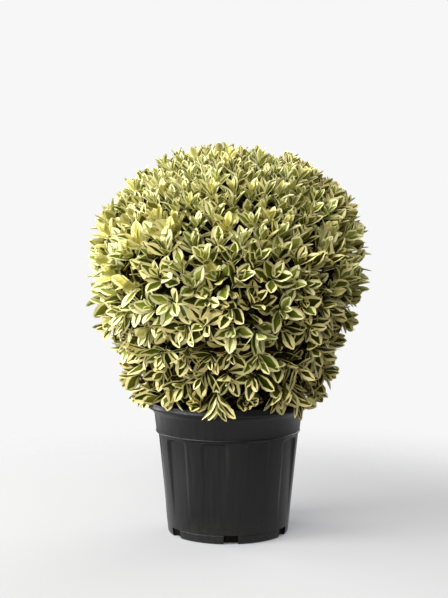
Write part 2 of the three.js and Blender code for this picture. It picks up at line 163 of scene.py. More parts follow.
# Values that change down the ball: at its top, at its skirt, and the stretch of the outline between
TWIG_SPACING = {"top": 0.069, "skirt": 0.069, "stretch": (0, 1)}  # the solids' own shoots
SHOOT_SPACING = {"top": 0.0215, "skirt": 0.041, "stretch": (0.2, 0.72)}
INNER_SPACING = {"top": 0.036, "skirt": 0.029, "stretch": (0.2, 0.6)}  # old shoots behind the outer ones, tinted nearly black: partly their own colour, partly painted shade
INNER_DEPTH = {"top": 0.055, "skirt": 0.030, "stretch": (0.3, 0.7)}
LIFT = {"top": 0.9, "skirt": -0.2, "stretch": (0.5, 0.85)}
OPENNESS = {"top": 0.68, "skirt": 1.12, "stretch": (0.5, 0.9)}
DROOP = {"top": 0.10, "skirt": 0.55, "stretch": (0.5, 0.9)}
LEAF_SIZE = {"top": 0.66, "skirt": 1.02, "stretch": (0.15, 0.62)}
OPEN_LEAVES = {"top": 0.1, "skirt": 1.0, "stretch": (0.15, 0.6)}
TOP_REACH = {"top": -0.007, "skirt": 0.0, "stretch": (0, 0.16)}  # the ball is clipped flatter on top
SKIRT_REACH = {"top": 0.0, "skirt": 0.003, "stretch": (0.75, 1)}
TONE = {"top": 1.5, "skirt": 3.05, "stretch": (0.5, 0.85)}  # the place of a spray's tint among the tints, paler at the top and greener towards the skirt: partly the young growth on top, partly painted shade on the lower ball

# Twigs and shoots
TWIG_SWAY = 0.16
TWIG_DEPTH = 0.029
TWIG_RUN = 0.030
TWIG_RADIUS = 0.0022
TWIG_TIP_RADIUS = 0.0011
TWIG_STEP = 3 * LIMB_STEP
TWIG_SIDES = 6
TWIG_RELIEF = BARK_RELIEF / 3
TWIG_RIDGES = 400.0
SPINE_STEPS = 20  # along a twig
SPINE_FORKS = (8, 16)  # the steps between which shoots leave it
SHOOT_SWAY = 0.5
SHOOT_RUN = 0.040  # the straight leafy end of a shoot
SHOOT_RADIUS = 0.0011
SHOOT_TIP_RADIUS = 0.0006
SHOOT_BEND_STEPS = 6
SHOOT_TILT = 0.22
FIRST_RING = 0.4  # of the spacing, down from the top
LAST_RING_RISE = 0.004
FEWEST_SHOOTS = 3  # in a ring
SPREAD_PASSES = 4
CROWDED = 1.1  # shoots nearer than this share of the spacing push each other away
PUSH = 0.2
INNER_BARE = 4  # the old shoots are without their smallest leaves
GROWTH_SEED = 32

# Leaves
LEAF_LENGTH = 0.038
LEAF_WIDTH = 0.0175
LEAF_THICKNESS = 0.0004
LEAF_SWAY = 0.12
PAIR_SWAY = 0.15
SIZE_SWAY = 0.06
ROLL_SWAY = 0.35
LEAF_KINDS = (  # each row of a leaf: how far along it, and the share of its full width there
    {
        "width": 0.0160,
        "fold": (0.15, 0.45),
        "rows": ((0.12, 0.24), (0.42, 0.87), (0.70, 0.96), (0.91, 0.49)),
    },
    {
        "width": 0.0182,
        "fold": (0.05, 0.25),
        "rows": ((0.10, 0.19), (0.32, 0.68), (0.55, 1.0), (0.77, 0.85), (0.93, 0.41)),
    },
)
WIDTH_SWAY = 0.12
ARCH = (0.02, 0.16)  # how far the tip sinks, as shares of the length
LEAF_TWIST = 0.12
EDGE_WAVE = 0.02
GREEN_SHARES = (0.36, 0.50, 0.61, 0.71, 0.80)  # of a leaf's half width, the rest is margin
GREEN_BOUNDS = (0.1, 0.9)
MARGIN_SWAY = 0.14
TIP_MARGIN = 0.55  # how far the green narrows towards the tip
TIP_STRETCH = (0.45, 0.95)  # of the length, where it narrows
LEAF_PAIRS = (
    {"back": 0.002, "spread": 16, "size": 0.52},
    {"back": 0.005, "spread": 30, "size": 0.78},
    {"back": 0.010, "spread": 45, "size": 0.94},
    {"back": 0.016, "spread": 58, "size": 1.00},
    {"back": 0.024, "spread": 68, "size": 1.00},
    {"back": 0.035, "spread": 76, "size": 0.95},
)
OLD_PAIR = 5  # the lowest pair of a shoot has the nearly black tint of old leaves, which is partly painted shade
PART_NAMES = ("margin", "half", "other_half", "underside")
MARGIN, LEFT_HALF, RIGHT_HALF, UNDERSIDE = range(len(PART_NAMES))
GREEN_COLUMNS = slice(1, 4)  # of the five points across a leaf, those that bound its green

# How far shoots reach, and how the lowest ones lie on the rim
REACH_SWAY = 0.005
REACH_BIAS = 0.4
REACH_LIMIT = 2
REACH_PASSES = 3
FURTHEST_REACH = 0.018
RIM_CLEARANCE = 0.003
RIM_SHOOTS = 0.205  # the lowest shoots lie on the rim
RIM_BEND = (0.2, 0.06)  # outwards and up
RIM_BENDS = 8
HANGING_FROM = 0.93  # of the outline
HANGING_SHARE = 0.85  # of the lowest shoots, these hang over the rim
HANGING_OUT = 0.010
HANGING_DROOP = 0.9  # on top of the droop of other shoots
HANGING_SWAY = 0.020  # how much higher some of them start
HANGING_SLOPE = 1.3
TUFTS = 26  # they stand out of the ball a little
TUFT_SIZE = (0.88, 0.99)  # the cosines of a tuft's edge and of its middle
TUFT_REACH = 0.008
BETWEEN_TUFTS = -0.005
SHOULDER = np.array([0.69, 0.0, 0.72])  # where the ball is fuller
SHOULDER_SIZE = (0.91, 0.985)
SHOULDER_REACH = 0.010

# Leaf tints by spray, each with the colours of its margin, its two halves and its underside
TINTS = (
    {"name": "golden", "colours": ((233, 227, 166), (203, 197, 103), (185, 181, 88), (200, 196, 117))},
    {"name": "pale", "colours": ((238, 234, 183), (120, 135, 46), (148, 156, 64), (158, 163, 78))},
    {"name": "cream", "colours": ((242, 234, 174), (80, 95, 21), (101, 113, 33), (121, 127, 53))},
    {"name": "green", "colours": ((240, 228, 163), (44, 52, 3), (60, 69, 8), (90, 95, 31))},
    # old leaves deep in the ball, nearly black: partly their own darker green, partly painted shade
    {"name": "old", "colours": ((76, 68, 26), (13, 14, 1), (18, 20, 3), (29, 28, 7))},
)
OLD_AND_SHADED_TINT = 4
TONE_SWAY = 0.7
PAINTED_LIGHT_SIDE = np.array([-0.95, -0.25, 0.2])  # towards the key window, where the leaves are given paler tints: painted light
PAINTED_LIGHT_TONE = -0.4
PAINTED_LIGHT_BOUNDS = (-0.5, 1)
TONE_BY_PAIR = 0.2  # the youngest leaves of a shoot are the palest
LEAF_TONE_SWAY = 0.35

# Finishes: the scales of grain and mottle and their stretch, the bump's strength and depth, and the gloss
EVEN = (1.0, 1.0, 1.0)
STREAKS = (1.0, 1.0, 0.35)
FLOW_MARKS = (1.0, 1.0, 0.02)
GRAIN_DETAIL = 3.0
MOTTLE_DETAIL = 4.0
PATCH_EDGES = (0.35, 0.65)
LEAF_SKIN = {"grain": 420.0, "mottle": 60.0, "stretch": EVEN, "bump": (0.25, 0.0006), "gloss": 0.08}
BARK_SKIN = {"grain": 900.0, "mottle": 120.0, "stretch": STREAKS, "bump": (0.6, 0.001), "gloss": 0.5}
COMPOST_SKIN = {"grain": 700.0, "mottle": 160.0, "stretch": EVEN, "bump": (0.8, 0.002), "gloss": 0.1}
POT_SKIN = {"grain": 1400.0, "mottle": 150.0, "stretch": FLOW_MARKS, "bump": (0.12, 0.0005), "gloss": 0.32}
DUST_SPECKS = {"grain": 380.0, "mottle": 240.0, "stretch": EVEN}
LEAF_ROUGHNESS = 0.42
UNDERSIDE_ROUGHNESS = 0.65
BARK_ROUGHNESS = (0.75, 0.95)
COMPOST_ROUGHNESS = (0.8, 1.0)
POT_ROUGHNESS = (0.29, 0.41)
STEM_COLOURS = ((112, 96, 74), (70, 58, 44))
TWIG_COLOURS = ((74, 72, 42), (60, 47, 32))
COMPOST_COLOURS = ((9, 7, 6), (24, 18, 14))
COMPOST_PEAKS = (7, 6, 5)
POT_COLOURS = ((6, 6, 7), (17, 17, 17))
DUST_COLOUR = (96, 93, 88)
DUST_TOP = 0.04
DUST_SHARE = 0.12  # at the foot

# Camera, as fitted to the photograph's frame
FRAME_HEIGHT_PIXELS = 598
FOCAL_PIXELS = 1283
SENSOR = 36
CAMERA_PLACE = (-0.006, -1.9, 0.48)
CAMERA_PITCH = math.radians(4.0)

# Stage
FLOOR_RADIUS = 2.4
FLOOR_SIDES = 128
FLOOR_ROUGHNESS = 0.8
FLOOR_BOUNCE = 0.22
FLOOR_PALENESS = 0.41  # as it is seen, and in reflections
# painted light: the floor glows as it is seen, which lightens the shadows cast on it
FLOOR_PAINTED_GLOW = 0.225
FLOOR_GLOW_TINT = (0.85, 0.88, 1.0)  # against the warm light, so the floor looks neutral
FLOOR_FADE = (1.0, 0.4)  # how far off none of it is left, and how far off it is whole
ROOM_LIGHT = 0.09
ROOM_GLOSS = 0.25  # the room in reflections
ROOM_PALENESS = 0.93
ROOM_TINT = (255, 242, 178)  # the light between leaves is warm
WHITE = (255, 255, 255)

# Lights
DAYLIGHT = (1, 1, 1)
WARM_LIGHT = (1, 0.985, 0.945)
SOFT_LIGHT = (1, 0.99, 0.97)
LIGHTS = {
    "window_side": {"place": (-3.6, -1.3, 2.0), "size": (2.0, 3.2), "power": 224, "colour": DAYLIGHT},
    "wall_side": {"place": (-2.6, 1.2, 1.0), "size": (1.6, 2.0), "power": 60, "colour": DAYLIGHT},
    "window_front": {"place": (-2.0, -3.8, 2.7), "size": (4.0, 4.0), "power": 250, "colour": WARM_LIGHT},
    "window_back": {"place": (2.6, 3.4, 2.0), "size": (4.0, 3.0), "power": 135, "colour": SOFT_LIGHT},
    "ceiling": {"place": (0.0, 0.1, 3.0), "size": (3.0, 3.0), "power": 24, "colour": SOFT_LIGHT},
}
LIT_PLACE = np.array([0, 0, 0.3])

UP = np.array([0.0, 0.0, 1.0])
BALL_MIDDLE = np.array([0.0, 0.0, BELLY])


# Node trees

def socket_of(sockets, key):
    """A socket by its place, its identifier or its name."""
    if isinstance(key, int):
        return sockets[key]
    by_identifier = [socket for socket in sockets if socket.identifier == key]
    return by_identifier[0] if by_identifier else sockets[key]


class Nodes:
    """Adds nodes to a tree. Each way to add one gives an output of the new node."""

    def __init__(self, tree):
        self.tree = tree

    def feed(self, sockets, values):
        """Sets sockets to values, or links them to other nodes' outputs."""
        for key, value in values.items():
            socket = socket_of(sockets, key)
            if isinstance(value, bpy.types.NodeSocket):
                self.tree.links.new(value, socket)
            else:
                socket.default_value = value

    def add(self, kind, inputs=(), output=0, **settings):
        made = self.tree.nodes.new(kind)
        for name, value in settings.items():
            setattr(made, name, value)
        self.feed(made.inputs, dict(inputs))
        return socket_of(made.outputs, output)

    def math(self, operation, first, second, **settings):
        return self.add("ShaderNodeMath", {0: first, 1: second}, operation=operation, **settings)

    def attribute(self, name, kind):
        return self.add("GeometryNodeInputNamedAttribute", {"Name": name}, data_type=kind)

    def random(self, low, high, seed):
        return self.add("FunctionNodeRandomValue", {"Min_001": low, "Max_001": high, "Seed": seed}, 1)

    def noise(self, place, scale, detail):
        return self.add("ShaderNodeTexNoise", {"Vector": place, "Scale": scale, "Detail": detail})

    def stretched(self, place, stretch):
        return self.add("ShaderNodeVectorMath", {0: place, 1: stretch}, operation="MULTIPLY")

    def ranged(self, value, low, high):
        return self.add("ShaderNodeMapRange", {"Value": value, "To Min": low, "To Max": high})

    def masked(self, value, low, high, most=1.0, **settings):
        """A mask that goes from 0 at a low value to its most at a high one."""
        limits = {"Value": value, "From Min": low, "From Max": high, "To Max": most}
        return self.add("ShaderNodeMapRange", limits, **settings)

    def blended(self, mask, first, second):
        """Two colours mixed by a mask, each a colour of 0 to 255 or another node's output."""
        sides = {"Factor_Float": mask}
        for key, colour in (("A_Color", first), ("B_Color", second)):
            sides[key] = colour if isinstance(colour, bpy.types.NodeSocket) else linear(colour)
        return self.add("ShaderNodeMix", sides, "Result_Color", data_type="RGBA")


def new_group(name, kind, inputs, outputs):
    """A node group with named sockets: its nodes, what it is given and what it puts out."""
    tree = bpy.data.node_groups.new(name, kind)
    for side, sockets in (("INPUT", inputs), ("OUTPUT", outputs)):
        for label, socket_kind in sockets.items():
            tree.interface.new_socket(label, in_out=side, socket_type=f"NodeSocket{socket_kind}")
    return Nodes(tree), tree.nodes.new("NodeGroupInput").outputs, tree.nodes.new("NodeGroupOutput").inputs


def new_growth(name, **inputs):
    """A geometry tree that turns one mesh into another, with named inputs for its sizes."""
    labels = {label.replace("_", " "): kind for label, kind in inputs.items()}
    return new_group(name, "GeometryNodeTree", {"Geometry": "Geometry", **labels}, {"Geometry": "Geometry"})


# Objects

def linear(colour):
    """A colour of 0 to 255 on the screen as the light that it stands for, by the usual curve of screens."""
    shares = np.array(colour) / 255
    light = np.where(shares <= 0.04045, shares / 12.92, ((shares + 0.055) / 1.055) ** 2.4)
    return (*light.tolist(), 1.0)


def mesh_of(name, points, edges=(), faces=()):
    mesh = bpy.data.meshes.new(name)
    mesh.from_pydata(np.asarray(points).tolist(), list(edges), list(faces), shade_flat=False)
    return mesh


def mesh_from(shape, name):
    """A new mesh from an edited shape, which is freed."""
    mesh = bpy.data.meshes.new(name)
    shape.to_mesh(mesh)
    shape.free()
    return mesh


def object_of(name, mesh, *materials):
    made = bpy.data.objects.new(name, mesh)
    for material in materials:
        mesh.materials.append(material)
    scene.collection.objects.link(made)
    return made


def collection_of(name, objects):
    made = bpy.data.collections.new(name)
    for each in objects:
        made.objects.link(each)
    return made


def put_away(collection):
    for each in list(collection.objects):
        bpy.data.objects.remove(each)
    bpy.data.collections.remove(collection)


def settled(piece):
    """The piece with its modifiers worked into a plain mesh."""
    graph = bpy.context.evaluated_depsgraph_get()
    evaluated = piece.evaluated_get(graph)
    mesh = bpy.data.meshes.new_from_object(evaluated, preserve_all_data_layers=True, depsgraph=graph)
    piece.modifiers.clear()
    piece.data = mesh
    return piece


def grown(name, start, tree, values):
    """The plain mesh that a geometry tree grows from a starting mesh."""
    piece = object_of(name, start)
    modifier = piece.modifiers.new("growth", "NODES")
    modifier.node_group = tree
    for item in tree.interface.items_tree:
        if item.in_out == "INPUT" and item.name in values:
            modifier[item.identifier] = values[item.name]
    return settled(piece)


def set_attribute(mesh, name, kind, values, domain="POINT"):
    mesh.attributes.new(name, kind, domain).data.foreach_set("value", np.asarray(values).ravel())


def handed_over(piece, slot, *nodes):
    """The finished piece rides on the plant and stands for its nodes, which are hidden. Its slot is not used.
    """
    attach(piece, "root")
    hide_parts(*nodes)


# Finishes

def grain_group():
    """A fine uneven relief in Object coordinates, and a wider mottle."""
    nodes, given, put = new_group(
        "uneven surface",
        "ShaderNodeTree",
        {"Grain": "Float", "Mottle": "Float", "Stretch": "Vector"},
        {"Relief": "Float", "Patches": "Float"},
    )
    place = nodes.stretched(nodes.add("ShaderNodeTexCoord", output="Object"), given["Stretch"])
    mottle = nodes.noise(place, given["Mottle"], MOTTLE_DETAIL)
    nodes.feed(put, {
        "Relief": nodes.noise(place, given["Grain"], GRAIN_DETAIL),
        "Patches": nodes.masked(mottle, *PATCH_EDGES),
    })
    return nodes.tree


def new_material(name):
    """A new material, its nodes and the inputs of its shader."""
    material = bpy.data.materials.new(name)
    material.use_nodes = True
    return material, Nodes(material.node_tree), material.node_tree.nodes["Principled BSDF"].inputs


def surface_of(nodes, skin, group):
    """The relief and the patches of a skin."""
    values = {"Grain": skin["grain"], "Mottle": skin["mottle"], "Stretch": skin["stretch"]}
    return nodes.add("ShaderNodeGroup", values, node_tree=group).node.outputs


def skinned_material(name, skin, group):
    """A new material with a skin's gloss and bump, its nodes, the inputs of its shader and its surface."""
    material, nodes, shader = new_material(name)
    surface = surface_of(nodes, skin, group)
    strength, depth = skin["bump"]
    bump = {"Height": surface["Relief"], "Strength": strength, "Distance": depth}
    nodes.feed(shader, {"Specular IOR Level": skin["gloss"], "Normal": nodes.add("ShaderNodeBump", bump)})
    return material, nodes, shader, surface


def leaf_materials(group):
    """Plain colours under a leathery skin with a waxy gloss, in the order of tint and part."""
    made = []
    for tint in TINTS:
        for part, colour in zip(PART_NAMES, tint["colours"]):
            material, nodes, shader, _ = skinned_material(f"leaf_{tint['name']}_{part}", LEAF_SKIN, group)
            roughness = UNDERSIDE_ROUGHNESS if part == "underside" else LEAF_ROUGHNESS
            nodes.feed(shader, {"Base Color": linear(colour), "Roughness": roughness})
            made.append(material)
    return made


def bark_material(name, colours, group):
    """Bark or twig skin, streaked along the limb."""
    material, nodes, shader, surface = skinned_material(name, BARK_SKIN, group)
    nodes.feed(shader, {
        "Base Color": nodes.blended(surface["Patches"], *colours),
        "Roughness": nodes.ranged(surface["Relief"], *BARK_ROUGHNESS),
    })
    return material


def compost_material(group):
    material, nodes, shader, surface = skinned_material("moist_compost", COMPOST_SKIN, group)
    fibres = nodes.blended(surface["Patches"], *COMPOST_COLOURS)
    nodes.feed(shader, {
        "Base Color": nodes.blended(surface["Relief"], fibres, COMPOST_PEAKS),
        "Roughness": nodes.ranged(surface["Relief"], *COMPOST_ROUGHNESS),
    })
    return material


def pot_material(group):
    """Black moulded plastic with a satin skin, faint flow marks and a little dust near the foot."""
    material, nodes, shader, surface = skinned_material("black_moulded_plastic", POT_SKIN, group)
    plastic = nodes.blended(surface["Patches"], *POT_COLOURS)
    place = nodes.add("ShaderNodeTexCoord", output="Object")
    near_foot = nodes.masked(nodes.add("ShaderNodeSeparateXYZ", {0: place}, "Z"), DUST_TOP, 0.0, DUST_SHARE)
    dust = nodes.math("MULTIPLY", near_foot, surface_of(nodes, DUST_SPECKS, group)["Patches"])
    nodes.feed(shader, {
        "Base Color": nodes.blended(dust, plastic, DUST_COLOUR),
        "Roughness": nodes.ranged(surface["Patches"], *POT_ROUGHNESS),
    })
    return material


# Geometry trees

def limb_tree():
    """Round limbs along the edges of a mesh, as thick as its points say, with the bark's relief."""
    nodes, given, put = new_growth(
        "limbs along lines", Sides="Int", Relief="Float", Relief_Scale="Float", Bark="Material"
    )
    round_limb = nodes.add("GeometryNodeCurveToMesh", {
        "Curve": nodes.add("GeometryNodeMeshToCurve", {"Mesh": given["Geometry"]}),
        "Profile Curve": nodes.add(
            "GeometryNodeCurvePrimitiveCircle", {"Resolution": given["Sides"], "Radius": 1.0}
        ),
        "Scale": nodes.attribute("thickness", "FLOAT"),
        "Fill Caps": True,
    })
    place = nodes.stretched(nodes.add("GeometryNodeInputPosition"), BARK_STRETCH)
    ridges = nodes.noise(place, given["Relief Scale"], GRAIN_DETAIL)
    height = nodes.math("MULTIPLY", nodes.math("SUBTRACT", ridges, 0.5), given["Relief"])
    normal = nodes.add("GeometryNodeInputNormal")
    offset = nodes.add("ShaderNodeVectorMath", {0: normal, "Scale": height}, operation="SCALE")
    rough = nodes.add("GeometryNodeSetPosition", {"Geometry": round_limb, "Offset": offset})
    smooth = nodes.add("GeometryNodeSetShadeSmooth", {"Geometry": rough})
    whole = nodes.add("GeometryNodeRealizeInstances", {"Geometry": smooth})
    barked = nodes.add("GeometryNodeSetMaterial", {"Geometry": whole, "Material": given["Bark"]})
    nodes.feed(put, {"Geometry": barked})
    return nodes.tree


def shapes_on_points(nodes, shapes, places):
    """The shapes of a collection on points, placed as said, as one real mesh."""
    apart = {"Collection": shapes, "Separate Children": True, "Reset Children": True}
    picked = {"Instance": nodes.add("GeometryNodeCollectionInfo", apart), "Pick Instance": True}
    placed = nodes.add("GeometryNodeInstanceOnPoints", {**picked, **places})
    return nodes.add("GeometryNodeRealizeInstances", {"Geometry": placed})


def spray_tree(materials):
    """Leaves on points that say their turn, size, shape and tint."""
    nodes, given, put = new_growth(
        "leaves on shoots", Leaf_Shapes="Collection", Size_Sway="Float", Roll_Sway="Float", Seed="Int"
    )
    swayed = {0: nodes.random(-1.0, 1.0, given["Seed"]), 1: given["Size Sway"], 2: 1.0}
    share = nodes.add("ShaderNodeMath", swayed, operation="MULTIPLY_ADD")
    roll_seed = nodes.add("FunctionNodeIntegerMath", {0: given["Seed"], 1: 1}, operation="ADD")
    angle = nodes.math("MULTIPLY", nodes.random(-1.0, 1.0, roll_seed), given["Roll Sway"])
    roll = nodes.add("FunctionNodeAxisAngleToRotation", {"Axis": (1.0, 0.0, 0.0), "Angle": angle})
    turn = {"Rotation": nodes.attribute("turn", "QUATERNION"), "Rotate By": roll}
    leaves = shapes_on_points(nodes, given["Leaf Shapes"], {
        "Points": given["Geometry"],
        "Instance Index": nodes.attribute("shape", "INT"),
        "Rotation": nodes.add("FunctionNodeRotateRotation", turn, rotation_space="LOCAL"),
        "Scale": nodes.math("MULTIPLY", share, nodes.attribute("size", "FLOAT")),
    })
    by_tint = {0: nodes.attribute("tint", "INT"), 1: len(PART_NAMES), 2: nodes.attribute("part", "INT")}
    finish = nodes.add("FunctionNodeIntegerMath", by_tint, operation="MULTIPLY_ADD")
    for number, material in enumerate(materials):
        pair = {"A_INT": finish, "B_INT": number}
        chosen = nodes.add("FunctionNodeCompare", pair, data_type="INT", operation="EQUAL")
        dyed = {"Geometry": leaves, "Selection": chosen, "Material": material}
        leaves = nodes.add("GeometryNodeSetMaterial", dyed)
    nodes.feed(put, {"Geometry": leaves})
    return nodes.tree


def crumb_tree():
    """Crumbs strewn over a surface, each turned and sized at random."""
    nodes, given, put = new_growth(
        "strewn crumbs",
        Crumb_Shapes="Collection",
        Density="Float",
        Smallest="Float",
        Largest="Float",
        Seed="Int",
        Crumb_Finish="Material",
    )
    bed = {"Mesh": given["Geometry"], "Density": given["Density"], "Seed": given["Seed"]}
    angles = {"Min": (0.0, 0.0, 0.0), "Max": (math.tau, math.tau, math.tau), "Seed": given["Seed"]}
    turn = nodes.add("FunctionNodeRandomValue", angles, data_type="FLOAT_VECTOR")
    crumbs = shapes_on_points(nodes, given["Crumb Shapes"], {
        "Points": nodes.add("GeometryNodeDistributePointsOnFaces", bed),
        "Rotation": nodes.add("FunctionNodeEulerToRotation", {"Euler": turn}),
        "Scale": nodes.random(given["Smallest"], given["Largest"], given["Seed"]),
    })
    finished = nodes.add("GeometryNodeSetMaterial", {"Geometry": crumbs, "Material": given["Crumb Finish"]})
    nodes.feed(put, {"Geometry": finished})
    return nodes.tree


# The rule of growth

class SeededRandom:
    """The solids' own repeatable source of numbers from 0 to 1 (a 32-bit mixing generator)."""

    STEP = 0x6D2B79F5
    WORD = 0xFFFFFFFF

    def __init__(self, seed):
        self.state = seed

    def number(self):
        self.state = (self.state + self.STEP) & self.WORD
        mixed = (self.state ^ (self.state >> 15)) * (self.state | 1) & self.WORD
        mixed ^= (mixed + (mixed ^ (mixed >> 7)) * (mixed | 61)) & self.WORD
        return (mixed ^ (mixed >> 14)) / 2**32

    def sway(self, reach):
        return (2 * self.number() - 1) * reach


def unit(vectors):
    return vectors / np.linalg.norm(vectors, axis=-1, keepdims=True)


def square_to(vectors, axes):
    """Vectors turned square to axes."""
    return unit(vectors - axes * np.sum(vectors * axes, axis=-1, keepdims=True))


def even_turns(count):
    """Angles evenly round a circle."""
    return np.arange(count) * math.tau / count


def direction(latitude, angle):
    level = math.cos(latitude)
    return np.array([level * math.sin(angle), -level * math.cos(angle), math.sin(latitude)])


def bezier(start, bend, end, steps):
    """Points on a curve with one bend."""
    share = np.linspace(0, 1, steps + 1)[:, None]
    return (1 - share) ** 2 * start + 2 * share * (1 - share) * bend + share**2 * end


def smooth_step(value, low, high):
    share = np.clip((value - low) / (high - low), 0, 1)
    return share * share * (3 - 2 * share)


def hollow_reach(towards):
    """How far the hollow middle reaches from the ball's middle in a direction."""
    latitude = math.asin(towards[2])
    level, rise = math.cos(latitude), math.sin(latitude)
    if latitude >= 0:
        tall = HOLLOW_TOP - BELLY
        return HOLLOW_RADIUS * tall / math.hypot(tall * level, HOLLOW_RADIUS * rise)
    narrowing = HOLLOW_RADIUS - HOLLOW_MOUTH_RADIUS
    drop = BELLY - HOLLOW_MOUTH
    share = HOLLOW_RADIUS * rise / (narrowing * rise - drop * level)
    return math.hypot(HOLLOW_RADIUS - narrowing * share, drop * share)


def point_on_stem(height):
    share = (height - COMPOST_TOP - CLEARANCE) / (STEM_TIP - COMPOST_TOP - CLEARANCE)
    return np.array([*(STEM_LEAN * share**2), height])


def mass_plan():
    """The masses round the ball, with the curve of each one's bough and the fork of its twigs."""
    chance = SeededRandom(MASS_SEED)
    masses = [{"name": "top", "towards": direction(math.pi / 2 - MASS_SWAY, 0)}]
    for ring in MASS_RINGS:
        for number in range(ring["count"]):
            latitude = math.radians(ring["latitude"]) + chance.sway(MASS_SWAY)
            even_turn = math.radians(ring["turn"]) + number * math.tau / ring["count"]
            masses.append({
                "name": f"{ring['row']}_{number + 1}",
                "towards": direction(latitude, even_turn + chance.sway(MASS_SWAY)),
                "leaves_at": ring["low"] + number % 2 * BOUGH_STAGGER,
                "rise": ring["rise"],
            })
    for mass in masses:
        reach = hollow_reach(mass["towards"])
        end = BALL_MIDDLE + mass["towards"] * (reach - BOUGH_SHORT)
        start, bend = bough_start(mass, end)
        mass["bough"] = (start, bend, end)
        away = unit(end - bend)
        foot = end + away * CLEARANCE
        mass["fork"] = BALL_MIDDLE + mass["towards"] * (reach + FORK_DEPTH)
        mass["stem"] = (foot, foot + away * FORK_DEPTH / 2, mass["fork"])
    return masses


def bough_start(mass, end):
    """Where a bough starts and bends. The leader goes straight on from the stem's tip."""
    if "leaves_at" not in mass:
        onwards = unit(np.array([*(2 * STEM_LEAN), STEM_TIP - COMPOST_TOP - CLEARANCE]))
        start = point_on_stem(STEM_TIP) + onwards * CLEARANCE
        return start, start + onwards * (end[2] - start[2]) / 2
    start = point_on_stem(mass["leaves_at"])
    bend = (start + end) / 2
    bend[2] = start[2] + (end[2] - start[2]) * mass["rise"]
    return start, bend


def outline_points():
    """The ball's outline from its top to the skirt, as radius and height, evenly spaced, and its length."""
    quarter = np.linspace(math.pi / 2, 0, OUTLINE_SAMPLES)
    tall = BALL_TOP - BELLY
    upper = np.stack([BALL_RADIUS * np.cos(quarter), BELLY + tall * np.sin(quarter)], axis=1)
    share = np.linspace(0, 1, OUTLINE_SAMPLES)[1:, None]
    corners = np.array([
        (BALL_RADIUS, BELLY),
        (BALL_RADIUS, BELLY - BELLY_DROP),
        DRAWN_IN,
        (SKIRT_RADIUS, SKIRT),
    ])
    weights = np.concatenate(
        [(1 - share) ** 3, 3 * share * (1 - share) ** 2, 3 * share**2 * (1 - share), share**3], axis=1
    )
    points = np.concatenate([upper, weights @ corners])
    run = np.concatenate([[0], np.cumsum(np.linalg.norm(np.diff(points, axis=0), axis=1))])
    even = np.linspace(0, run[-1], OUTLINE_SAMPLES)
    spaced = np.stack([np.interp(even, run, points[:, axis]) for axis in (0, 1)], axis=1)
    return spaced, run[-1]


OUTLINE, OUTLINE_LENGTH = outline_points()
OUTLINE_RUNS = np.linspace(0, OUTLINE_LENGTH, len(OUTLINE))
OUTLINE_LATITUDES = np.arctan2(OUTLINE[:, 1] - BELLY, OUTLINE[:, 0])
OUTLINE_REACHES = np.hypot(OUTLINE[:, 0], OUTLINE[:, 1] - BELLY)
LAST_RING = OUTLINE_LENGTH - LAST_RING_RISE


def latitudes(points):
    return np.arctan2(points[..., 2] - BELLY, np.hypot(points[..., 0], points[..., 1]))


def excess(points):
    """How far points stand out of the ball's outline."""
    reach = np.interp(-latitudes(points), -OUTLINE_LATITUDES, OUTLINE_REACHES)
    return np.linalg.norm(points - BALL_MIDDLE, axis=-1) - reach


def outline_places(runs, angles):
    radius, height = (np.interp(runs, OUTLINE_RUNS, OUTLINE[:, axis]) for axis in (0, 1))
    return np.stack([radius * np.sin(angles), -radius * np.cos(angles), height], axis=1)


def outline_normals(runs, angles):
    slope = np.gradient(OUTLINE, OUTLINE_RUNS, axis=0)
    outward, up = (np.interp(runs, OUTLINE_RUNS, slope[:, axis]) for axis in (0, 1))
    return unit(np.stack([-up * np.sin(angles), up * np.cos(angles), outward], axis=1))


def outline_runs(points):
    """How far down the outline points are, and their angles round it."""
    runs = np.interp(-latitudes(points), -OUTLINE_LATITUDES, OUTLINE_RUNS)
    return np.minimum(runs, LAST_RING), np.arctan2(points[:, 0], -points[:, 1])


def down_the_ball(shares, course):
    """A value that goes from the ball's top to its skirt, at shares of the outline."""
    return course["top"] + (course["skirt"] - course["top"]) * smooth_step(shares, *course["stretch"])


def ring_runs(spacing):
    """How far down the outline the rings of shoots are, and the spacing at each."""
    runs, spacings = [], []
    run = FIRST_RING * spacing["top"]
    while run < OUTLINE_LENGTH:
        spacings.append(down_the_ball(run / OUTLINE_LENGTH, spacing))
        runs.append(run)
        run += spacings[-1]
    return np.array(runs) * LAST_RING / runs[-1], spacings


def shoved(points, spacings):
    """Where points go when near neighbours push them away."""
    apart = points[:, None] - points
    distance = np.linalg.norm(apart, axis=2) + np.eye(len(points))
    push = np.clip(CROWDED * spacings[:, None] - distance, 0, None) / distance
    return points + PUSH * (apart * push[..., None]).sum(axis=1)


def shoot_plan(spacing, sway, chance):
    """Shoots in rings on the outline, each a little astray and then spread out evenly."""
    runs, angles, spacings = [], [], []
    for run, ring_spacing in zip(*ring_runs(spacing)):
        radius = np.interp(run, OUTLINE_RUNS, OUTLINE[:, 0])
        count = max(FEWEST_SHOOTS, round(math.tau * radius / ring_spacing))
        along, around = chance.uniform(-sway, sway, (2, count))
        runs.append(run + along * ring_spacing)
        angles.append(chance.uniform(0, math.tau) + (np.arange(count) + around) * math.tau / count)
        spacings.append(np.full(count, ring_spacing))
    runs, angles, spacings = (np.concatenate(rings) for rings in (runs, angles, spacings))
    for _ in range(SPREAD_PASSES):
        runs, angles = outline_runs(shoved(outline_places(runs, angles), spacings))
    return outline_places(runs, angles), outline_normals(runs, angles), runs / OUTLINE_LENGTH


def nearest_mass(points, masses):
    towards = np.array([mass["towards"] for mass in masses])
    return np.argmax((points - BALL_MIDDLE) @ towards.T, axis=1)


def clear_of_pot(points, lowest):
    """True where points are over the rim, or outside it and no lower than they may hang."""
    level = np.hypot(points[..., 0], points[..., 1])
    over = points[..., 2] > POT_HEIGHT + RIM_CLEARANCE
    outside = (level > RIM_RADIUS + RIM_CLEARANCE) & (points[..., 2] > lowest[:, None, None])
    return over | outside


